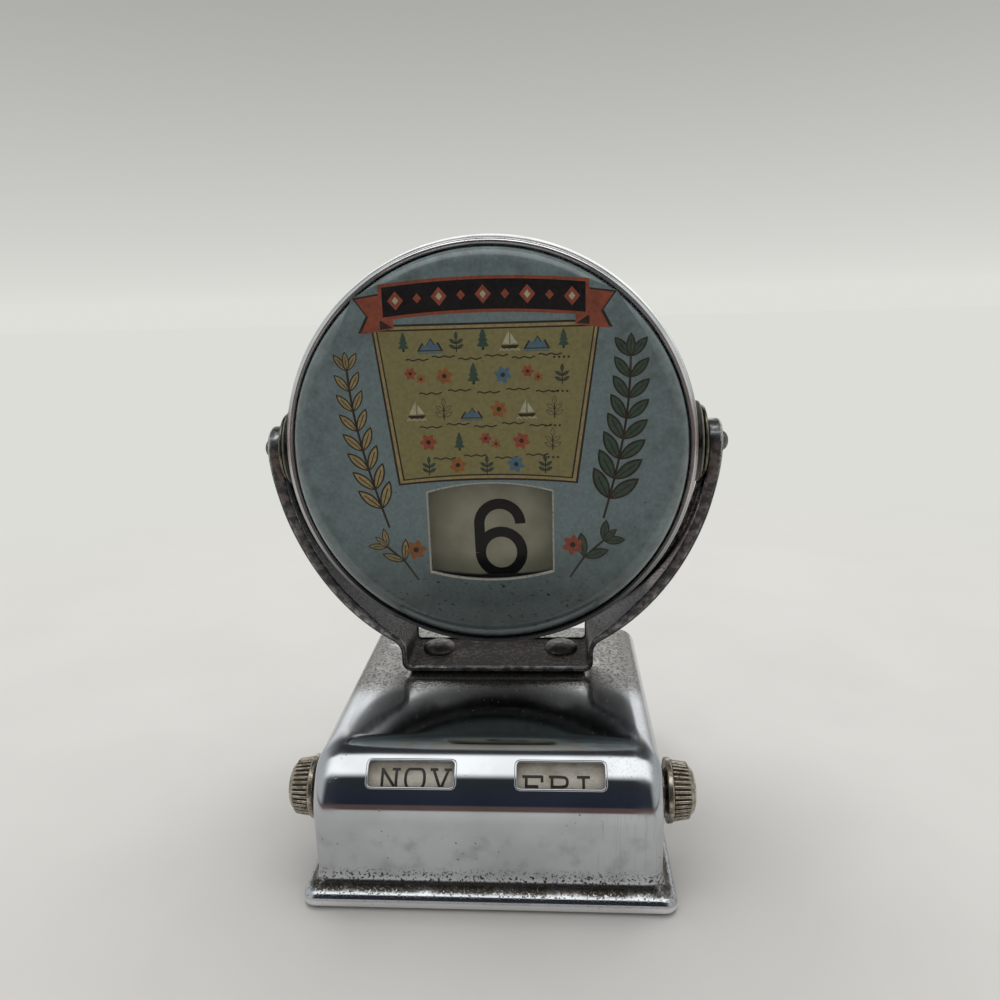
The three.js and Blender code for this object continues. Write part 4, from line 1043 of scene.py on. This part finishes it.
def bowed(x0, x1, z_mid, drop, steps=12):
    """Points from left to right along a low bow whose ends lie lower by drop."""
    return [(x0 + (x1 - x0) * i / steps, z_mid - drop * (2 * i / steps - 1) ** 2) for i in range(steps + 1)]


def ribbon():
    """A banner across the top: dark band with a row of lozenges, and red swallowtail ends."""
    shapes = []
    for side in (-1, 1):
        tail = [(side * 17.2, 31.2), (side * 17.2, 24.6), (side * 23.6, 23.7), (side * 21.9, 26.9),
                (side * 24.3, 30.2)]
        fold = [(side * 17.2, 24.6), (side * 19.6, 26.2), (side * 19.6, 24.3)]
        shapes.append((DARK, [(x * 1.012, z) for x, z in tail]))
        shapes += [(RED, placed(tail, 0, 0.05, 0.99)), (DARK, fold)]
    for ink, half, high, low, drop in ((RED, 19.6, 33.6, 27.0, 1.1), (BANNER, 18.9, 33.0, 27.6, 1.05)):
        shapes.append((ink, bowed(-half, half, high, drop) + bowed(-half, half, low, drop)[::-1]))
    for k in range(9):
        x = (k - 4) * 4.1
        z = 30.3 - 1.05 * (x / 18.9) ** 2
        large, small = [(RED, 1.5, 1.5 * 1.15), (PALE, 0.6, 0.75)], [(RED, 0.8, 0.8 * 1.15)]
        for ink, across, high in (large, small)[k % 2]:
            shapes.append((ink, [(x - across, z), (x, z - high), (x + across, z), (x, z + high)]))
    return shapes


def panel(inset):
    """The tapered panel's outline, drawn in by inset."""
    return (bowed(-17.9 + inset, 17.3 - inset, -4.95 + inset, 0.9)
            + [(21.6 - inset, 25.2 - inset), (-21.4 + inset, 25.2 - inset)])


def hills(x, z, size):
    """Three hill tops over a stream."""
    top = [(-0.62, 0.0), (-0.36, 0.42), (-0.2, 0.22), (0.05, 0.62), (0.26, 0.28), (0.4, 0.44), (0.64, 0.0)]
    low = line([(a * 0.1, -0.1 + 0.05 * (a % 2)) for a in range(-6, 7)], 0.07)
    return [(DARK, placed(top, x, z, size)), (BLUE, placed(top, x, z + 0.05 * size, size * 0.8)),
            (BLUE, placed(low, x, z, size))]


def sprig(x, z, size, ink):
    """An upright sprig of five leaves."""
    shapes = [(DARK, line([(x, z), (x, z + size * 0.7)], 0.22))]
    for lift, angle in ((0.15, 30), (0.15, 150), (0.42, 35), (0.42, 145), (0.62, 90)):
        shapes += veined_leaf(x, z + size * lift, size * 0.46, angle, ink, 0.42)
    return shapes


def ripple(x, z, length):
    """A short wavy line, as under a picture."""
    count = max(6, round(length / 0.5))
    wave = [(x + length * (i / count - 0.5), z + 0.16 * math.sin(1.6 * i)) for i in range(count + 1)]
    return [(DARK, line(wave, 0.26))]


def dots(x, z, count, gap):
    """A short row of spots."""
    return [(DARK, disc(x + gap * (i - (count - 1) / 2), z, 0.24, 8)) for i in range(count)]


def front_print():
    """A sampler of small generic motifs in rows on a bordered panel, with leafy branches and a ribbon."""
    shapes = [(ink, panel(inset)) for ink, inset in ((DARK, 0), (TAN, 0.4), (DARK, 0.95), (OLIVE, 1.25))]
    rows = [(20.3, "pine hills sprig pine boat hills pine"), (13.9, "posy flower pine flower posy sprig"),
            (7.4, "boat sprig hills flower boat sprig"), (1.2, "flower pine posy flower sprig"),
            (-3.4, "sprig flower sprig flower sprig")]
    for place, (z, names) in enumerate(rows):
        motifs = names.split()
        reach = 17.6 - 0.85 * place
        for k, motif in enumerate(motifs):
            x = -reach + 2 * reach * (k + 0.5) / len(motifs) + (0.5 if place % 2 else -0.3)
            size = 3.5 + 0.5 * ((k + place) % 2)
            if motif == "boat":
                shapes += sailing_boat(x, z, size)
            elif motif == "sprig":
                shapes += sprig(x, z - 0.4, size, (LEAF, TAN)[(k + place) % 2])
            elif motif == "flower":
                shapes += flower(x, z + 1.5, 1.75, (RED, BLUE, RUST)[(k + place) % 3], 15.0 * k)
            elif motif == "posy":
                shapes += flower(x - 0.9, z + 2.1, 1.25, RED) + flower(x + 1.1, z + 1.0, 1.0, RUST, 30.0)
            elif motif == "pine":
                shapes += pine(x, z - 0.2, size)
            else:
                shapes += hills(x, z - 0.2, size)
            if place < len(rows) - 1 and k < len(motifs) - 1:
                shapes += ripple(x + reach / len(motifs), z - 1.75 + 0.5 * (k % 2), 4.4)
            elif place < len(rows) - 1:
                shapes += dots(x - 0.4, z - 1.8, 4, 0.9)
    return shapes + branches() + ribbon()


def branches():
    """Leafy branches up both sides, and a sprig with a flower on either side of the date."""
    left = [(-19.6 - 7.0 * math.sin(0.17 * k + 0.1), -14.5 + 3.9 * k) for k in range(9)]
    right = [(20.6 + 6.6 * math.sin(0.17 * k + 0.25), -13.0 + 3.9 * k) for k in range(9)]
    shapes = branch(left, 6.4, TAN, 0.36, 34) + branch(right, 7.4, LEAF, 0.4, 40)
    shapes += branch([(-15.0, -25.6), (-17.6, -21.6), (-20.9, -18.6)], 5.6, TAN, 0.34, 38)
    shapes += branch([(15.6, -25.2), (18.4, -21.0), (22.2, -17.6)], 6.0, LEAF, 0.42, 40)
    return shapes + flower(-15.2, -19.2, 2.2, RUST, 10) + flower(16.2, -18.4, 2.2, RED, 20)


def back_print():
    """The back's generic picture: a wreath of small flowers round a star, between the same branches."""
    middle = 9.6
    rings = ((DARK, 13.6), (TAN, 13.2), (DARK, 12.5), (OLIVE, 12.2))
    shapes = [(ink, disc(0, middle, radius, 60)) for ink, radius in rings]
    wreath = 9.9
    for k in range(12):
        x, z = wreath * math.cos(TURN * k / 12), middle + wreath * math.sin(TURN * k / 12)
        shapes += flower(x, z, 1.6, (RED, BLUE, RUST)[k % 3], 15.0 * k)
    for size, ink in ((7.4, DARK), (6.9, PALE)):
        reach = (size * 0.5, size)
        star = [(reach[k % 2] * math.cos(TURN * k / 16), middle + reach[k % 2] * math.sin(TURN * k / 16))
                for k in range(16)]
        shapes.append((ink, star))
    return shapes + [(RUST, disc(0, middle, 2.0, 24))] + branches() + ribbon()


for side, shapes, change in (("front", front_print(), lambda v: v + head),
                             ("back", back_print(), lambda v: (v.x, head.y - v.y, head.z - v.z))):
    part, inks = cover(shapes)
    make_piece(f"fine_{side}_cover", moved(part, change), tin_inks, "head", [side + "_cover"],
               inks, smooth_angle=34)


# Numbers and letters: strokes of ink, each a closed strip

def smoothed(points):
    """Rounds a stroke's corners by cutting them three times."""
    for _ in range(3):
        cut = [points[0]]
        for one, two in zip(points, points[1:]):
            cut += [tuple(a * 0.75 + b * 0.25 for a, b in zip(one, two)),
                    tuple(a * 0.25 + b * 0.75 for a, b in zip(one, two))]
        points = cut + [points[-1]]
    return points


def short_steps(points, step=0.3):
    """The same run of points with no gap longer than a step, so that it follows a curved face."""
    fine = [points[0]]
    for one, two in zip(points, points[1:]):
        count = max(1, math.ceil(math.dist(one, two) / step))
        fine += [(one[0] + (two[0] - one[0]) * i / count, one[1] + (two[1] - one[1]) * i / count)
                 for i in range(1, count + 1)]
    return fine


def stroke(points, width, depth):
    """A strip of ink along points of (across, up), out being 0 at its back and depth at its front."""
    outline = line(points, width)
    count = len(points)
    rings = []
    for i in range(count):
        (ax, au), (bx, bu) = outline[i], outline[2 * count - 1 - i]
        rings.append([(ax, au, 0), (bx, bu, 0), (bx, bu, depth), (ax, au, depth)])
    return join_rings(rings)


def round_stroke(across, up, width, height, start, end):
    """Points along part of an upright oval."""
    return arc(across, up, width, start, end, 28, height / width)


six = [round_stroke(-0.2, 3.56, 4.22, 4.22, 0, 180) + [(-4.37, 0.4), (-4.32, -2.6)],
       round_stroke(0, -2.6, 4.32, 4.45, 180, 540)]
seven = [[(-4.6, 7.1), (4.7, 7.1)], smoothed([(4.3, 7.0), (0.6, 2.0), (-1.3, -3.4), (-1.6, -7.9)])]
numeral_stroke = 2.15
numeral_x = 1.6
numeral_z = head.z - 19.1
tile_front = cad_box("date_tile_01")[0].y
tile_back = cad_box("date_tile_16")[1].y


def numeral(strokes, change):
    """A numeral's strokes as one piece, each a little thicker than the last, so that no faces coincide."""
    parts = [stroke(points, numeral_stroke, 0.04 + 0.01 * i) for i, points in enumerate(strokes)]
    return moved(together(*parts), change)


for side, strokes, change in (
        ("front", six, lambda v: (numeral_x + v.x, tile_front - v.z, numeral_z + v.y)),
        ("back", seven, lambda v: (numeral_x + v.x, tile_back + v.z, numeral_z - v.y))):
    make_piece(side + "_numeral", numeral(strokes, change), numeral_ink, "date_tiles",
               smooth_angle=60)


# Slab letters on a grid 4 wide and 6 high; a stroke that starts with "r" is rounded
LETTERS = {
    "A": ["0.6,0 2,6 3.4,0", "1.1,2 2.9,2", "0,0 1.3,0", "2.7,0 4,0"],
    "B": ["0.6,0 0.6,6", "r0,6 2.6,6 3.6,5.6 3.6,3.6 2.6,3.1 0.6,3.1", "r0.6,3.1 3,3.1 4,2.6 4,0.4 3,0 0,0"],
    "C": ["r3.6,4.4 3.3,6 0.2,6.2 0.2,-0.2 3.3,0 3.8,1.4", "3.6,4.2 3.6,6"],
    "D": ["0.6,0 0.6,6", "r0,6 2.6,6 3.9,5 3.9,1 2.6,0 0,0"],
    "E": ["0.6,0 0.6,6", "0,6 3.6,6 3.6,4.7", "0.6,3.1 2.6,3.1", "0,0 3.8,0 3.8,1.4"],
    "F": ["0.6,0 0.6,6", "0,6 3.7,6 3.7,4.6", "0.6,3.1 2.7,3.1 2.7,2.4", "0,0 1.6,0"],
    "G": ["r3.5,4.6 3.2,6 0.2,6.2 0.2,-0.2 3.4,0 3.4,2.6", "2.3,2.6 4,2.6"],
    "H": ["0.6,0 0.6,6", "3.4,0 3.4,6", "0.6,3 3.4,3", "0,0 1.3,0", "2.7,0 4,0", "0,6 1.3,6", "2.7,6 4,6"],
    "I": ["2,0 2,6", "0.9,0 3.1,0", "0.9,6 3.1,6"],
    "J": ["r3,6 3,0.4 1.6,-0.2 0.2,0.2 0.2,1.8", "1.9,6 4,6"],
    "L": ["0.8,0 0.8,6", "0,6 1.8,6", "0,0 3.8,0 3.8,1.6"],
    "M": ["0.5,0 0.5,6 2,2.2 3.5,6 3.5,0", "0,0 1.2,0", "2.8,0 4,0"],
    "N": ["0.6,0 0.6,6 3.4,0 3.4,6", "0,0 1.3,0", "2.7,6 4,6"],
    "O": ["r2,6.1 0.1,6.1 0.1,-0.1 3.9,-0.1 3.9,6.1 2,6.1"],
    "P": ["0.7,0 0.7,6", "r0,6 2.8,6 3.9,5.6 3.9,3.2 2.8,2.8 0.7,2.8", "0,0 1.7,0"],
    "R": ["0.6,0 0.6,6", "r0,6 2.6,6 3.6,5.6 3.6,3.4 2.6,3 0.6,3", "2,3 3.4,0 4.1,0", "0,0 1.4,0"],
    "S": ["r3.5,4.5 3.3,6.3 0.2,6.3 0.2,3.4 3.8,2.8 3.8,-0.3 0.5,-0.3 0.2,1.5"],
    "T": ["2,0 2,6", "0.1,4.6 0.1,6 3.9,6 3.9,4.6", "1.1,0 2.9,0"],
    "U": ["r0.6,6 0.6,0.2 2,-0.4 3.4,0.2 3.4,6", "0,6 1.3,6", "2.7,6 4,6"],
    "V": ["0.5,6 2,0 3.5,6", "0,6 1.2,6", "2.8,6 4,6"],
    "W": ["0.3,6 1.1,0 2,4.6 2.9,0 3.7,6", "0,6 0.9,6", "3.1,6 4,6"],
    "Y": ["0.5,6 2,3 3.5,6", "2,3 2,0", "0,6 1.2,6", "2.8,6 4,6", "1.1,0 2.9,0"],
}
label_radius = 9.8
label_sheet = 0.3
label_segments = 160
letter_height = 3.4
letter_width = 3.6
letter_pitch = 4.65
letter_stroke = 0.5
letter_depth = 0.03
stroke_overrun = 0.16
narrow_letters = {"I": 0.84, "J": 0.9, "F": 0.95, "L": 0.95}


def letter_runs(letter):
    """Runs of points that draw a letter about its middle. Straight ones overrun, which closes corners."""
    runs = []
    for text in LETTERS[letter]:
        points = [tuple(float(c) for c in pair.split(",")) for pair in text.lstrip("r").split()]
        points = [((a / 4 - 0.5) * letter_width, (b / 6 - 0.5) * letter_height) for a, b in points]
        if text[0] == "r":
            runs.append(smoothed(points))
            continue
        for one, two in zip(points, points[1:]):
            along = (Vector(two) - Vector(one)).normalized() * stroke_overrun
            runs.append([(one[0] - along.x, one[1] - along.y), (two[0] + along.x, two[1] + along.y)])
    return runs


def label_words(words, middle, first_word, first_angle):
    """Three-letter words round a label. The first one's middle stands at first_angle up from the front."""
    parts = []
    start = words.index(first_word)
    for k, word in enumerate(words[start:] + words[:start]):
        angle = math.radians(first_angle - 360 / len(words) * k)
        widths = [letter_pitch * narrow_letters.get(letter, 1.0) for letter in word]
        for place, letter in enumerate(word):
            across = sum(widths[:place]) + widths[place] / 2 - sum(widths) / 2
            for run in letter_runs(letter):
                strip = stroke(short_steps(run), letter_stroke, letter_depth)
                parts.append(moved(strip, lambda v: (middle + across + v.x, angle + v.y / label_radius,
                                                     label_radius + v.z)))
    return moved(together(*parts), lambda v: (v.x, roller.y - v.z * math.cos(v.y),
                                              roller.z + v.z * math.sin(v.y)))


MONTHS = "JAN FEB MAR APR MAY JUN JUL AUG SEP OCT NOV DEC".split()
WEEKDAYS = "SUN MON TUE WED THU FRI SAT".split()
for label, words, word, angle, middle in (("month", MONTHS, "NOV", 41.8, -12.7),
                                          ("weekday", WEEKDAYS, "FRI", 35.7, 12.7)):
    low, high = cad_box(label + "_label")
    inner = label_radius - label_sheet
    section = [(inner, low.x), (label_radius, low.x), (label_radius, high.x), (inner, high.x)]
    strip = revolve(section, "x", roll_axis, label_segments, closed=True)
    make_piece(f"fine_{label}_label", strip, paper, label + "_roller", [label + "_label"],
               smooth_angle=30)
    make_piece(label + "_letters", label_words(words, middle, word, angle), letter_ink, label + "_roller",
               smooth_angle=30)


# CAD nodes whose shape is right keep it, and get the finish of their real metal, paper or felt
kept = [(sheet_steel, ["bottom_plate", "center_bracket", "bracket_rivet_1", "bracket_rivet_2", "month_shaft",
                       "foot_washer_left", "foot_washer_right", "weekday_shaft", "front_tile_frame",
                       "back_tile_frame"]),
        (rivet_grey, ["foot_rivet_left", "foot_rivet_right"]),
        (turned_brass, ["center_bush", "month_shaft_collar", "weekday_shaft_collar"]),
        (spring_steel, ["month_friction_spring", "weekday_friction_spring"]),
        (tinned_sheet, ["month_drum", "weekday_drum"]),
        (enamel, [f"date_tile_{i:02d}" for i in range(1, 17)]),
        (felt, ["felt_pad"])]
for material, names in kept:
    for node_name in names:
        mesh = frame["nodes"][node_name].data
        mesh.materials.clear()
        mesh.materials.append(material)


# Studio: a pale floor, one soft light overhead, and a room whose front is in shade

room_shade = linear(0x6A5650)
lamp_light = (1.65, 1.65, 1.63, 1.0)
back_light = (1.25, 1.25, 1.23, 1.0)


def floor_finish():
    """Pale painted board, which fades into the backdrop far off. What metal mirrors beyond its front is the
    shade of the room."""
    look = Finish("pale_board", Roughness=0.9, IOR=1.45)
    grain = look.patches(40.0, 0.3, 0.7)
    board = look.add("ShaderNodeMix", {0: grain, 6: linear(0xC4C2BE), 7: linear(0xC0BEBA)}, **MIX)
    look.tree.links.new(board, look.shader.inputs["Base Color"])
    rays = look.add("ShaderNodeLightPath", None, None).outputs
    flat = look.add("ShaderNodeCombineXYZ", {0: look.x, 1: look.y})
    distance = look.add("ShaderNodeVectorMath", {0: flat}, "Value", operation="LENGTH")
    far = look.add("ShaderNodeMapRange", {"Value": distance, "From Min": 70.0, "From Max": 340.0})
    beyond = look.add("ShaderNodeEmission", {"Color": linear(0xDDDDD8), "Strength": 1.0})
    shade = look.add("ShaderNodeEmission", {"Color": room_shade, "Strength": 1.0})
    edge = look.add("ShaderNodeMapRange", {"Value": look.y, "From Min": -130.0, "From Max": -170.0})
    seen = look.add("ShaderNodeMath", {0: far, 1: rays["Is Camera Ray"]}, operation="MULTIPLY")
    mirrored = look.add("ShaderNodeMath", {0: edge, 1: rays["Is Glossy Ray"]}, operation="MULTIPLY")
    lit = look.add("ShaderNodeMixShader", {0: seen, 1: look.shader.outputs[0], 2: beyond})
    lit = look.add("ShaderNodeMixShader", {0: mirrored, 1: lit, 2: shade})
    surface = next(node for node in look.tree.nodes if node.type == "OUTPUT_MATERIAL").inputs["Surface"]
    look.tree.links.new(lit, surface)
    return look.material


floor_mesh = bpy.data.meshes.new("floor")
floor_reach = 3.0
corners = [(floor_reach * x, floor_reach * y, 0.0) for x, y in ((-1, -1), (1, -1), (1, 1), (-1, 1))]
floor_mesh.from_pydata(corners, [], [(0, 1, 2, 3)])
floor_mesh.materials.append(floor_finish())
floor = bpy.data.objects.new("floor", floor_mesh)
bpy.context.scene.collection.objects.link(floor)


def room():
    """The world: even light for matt surfaces, a pale backdrop to look at, and for metal a room with a dark
    front, a bright lamp overhead, a dark ceiling behind it, and a pale back and pale sides."""
    world = bpy.data.worlds.new("studio")
    world.use_nodes = True
    bpy.context.scene.world = world
    tree = world.node_tree
    tree.nodes.clear()
    add = partial(add_node, tree)
    rays = add("ShaderNodeLightPath", None, None).outputs
    way = add("ShaderNodeSeparateXYZ", {0: add("ShaderNodeTexCoord", None, "Generated")}, None).outputs
    # Where the room changes: degrees up from the front, over the top and down to the back
    changes = {"table": (0.0, 2.0, "LINEAR"), "front": (2.0, 48.0, "LINEAR"),
               "lamp": (48.0, 61.0, "SMOOTHSTEP"), "ceiling": (91.0, 98.0, "SMOOTHSTEP"),
               "back": (136.0, 146.0, "SMOOTHSTEP"), "back_foot": (164.0, 176.0, "LINEAR")}
    to_front = add("ShaderNodeMath", {0: way["Y"], 1: -1.0}, operation="MULTIPLY")
    angle = add("ShaderNodeMath", {0: way["Z"], 1: to_front}, operation="ARCTAN2")
    share = {}
    for name, (start, end, kind) in changes.items():
        limits = {"Value": angle, "From Min": math.radians(start), "From Max": math.radians(end)}
        share[name] = add("ShaderNodeMapRange", limits, interpolation_type=kind)
    sideways = add("ShaderNodeMath", {0: way["X"]}, operation="ABSOLUTE")
    limits = {"Value": sideways, "From Min": 0.36, "From Max": 0.8}
    share["sides"] = add("ShaderNodeMapRange", limits, interpolation_type="SMOOTHSTEP")
    back = add("ShaderNodeMix", {0: share["back_foot"], 6: back_light, 7: linear(0xD2D3D1)}, **MIX)
    glossy = linear(0x2A3040)
    for name, colour in (("front", linear(0x34383B)), ("lamp", lamp_light), ("ceiling", linear(0x3A3C3E)),
                         ("back", back), ("sides", linear(0xC6C9C8))):
        glossy = add("ShaderNodeMix", {0: share[name], 6: glossy, 7: colour}, **MIX)
    glossy = add("ShaderNodeMix", {0: share["table"], 6: room_shade, 7: glossy}, **MIX)
    backdrop = add("ShaderNodeMapRange", {"Value": way["Z"], "From Min": 0.0, "From Max": 0.3})
    backdrop = add("ShaderNodeMath", {0: backdrop, 1: 0.75}, operation="POWER")
    camera = add("ShaderNodeMix", {0: backdrop, 6: linear(0xDFDFDA), 7: linear(0xABACA8)}, **MIX)
    metal_rays = {0: rays["Is Glossy Ray"], 1: rays["Is Transmission Ray"]}
    mirrored = add("ShaderNodeMath", metal_rays, operation="MAXIMUM")
    colour = add("ShaderNodeMix", {0: mirrored, 6: linear(0xD0D0D0), 7: glossy}, **MIX)
    colour = add("ShaderNodeMix", {0: rays["Is Camera Ray"], 6: colour, 7: camera}, **MIX)
    shine = add("ShaderNodeBackground", {"Color": colour, "Strength": 1.0})
    add("ShaderNodeOutputWorld", {"Surface": shine}, None)


room()


def softbox(name, place, aim, width, depth, power):
    """A soft rectangular lamp: its place, aim and sizes in metres, and its power in watts."""
    lamp = bpy.data.lights.new(name, "AREA")
    lamp.shape = "RECTANGLE"
    lamp.size = width
    lamp.size_y = depth
    lamp.energy = power
    light = bpy.data.objects.new(name, lamp)
    light.rotation_euler = (Vector(aim) - Vector(place)).to_track_quat("-Z", "Y").to_euler()
    light.location = place
    light.visible_glossy = False
    bpy.context.scene.collection.objects.link(light)


softbox("overhead_softbox", place=(0.0, 0.21, 0.58), aim=(0.0, 0.0, 0.03), width=0.6, depth=0.38, power=3.3)

# Camera: found by fitting the case, the drum and the windows to the photograph
focal_pixels = 800.0
frame_pixels = 1000.0
sensor = 36.0
camera_place = Vector((13.1266, -151.5785, 106.2217)) * MM
yaw, pitch, roll = 0.073, 0.2548, -0.0309
forward = Vector((-math.sin(yaw) * math.cos(pitch), math.cos(yaw) * math.cos(pitch), -math.sin(pitch)))
level = Vector((math.cos(yaw), math.sin(yaw), 0.0))
upright = level.cross(forward)
right = level * math.cos(roll) + upright * math.sin(roll)
up = upright * math.cos(roll) - level * math.sin(roll)
lens = bpy.data.cameras.new("camera")
lens.sensor_width = sensor
lens.lens = focal_pixels / frame_pixels * sensor
lens.clip_start = 0.005
camera = bpy.data.objects.new("camera", lens)
camera.matrix_world = Matrix.Translation(camera_place) @ Matrix((right, up, -forward)).transposed().to_4x4()
bpy.context.scene.collection.objects.link(camera)
bpy.context.scene.camera = camera
bpy.context.scene.view_settings.view_transform = "Standard"
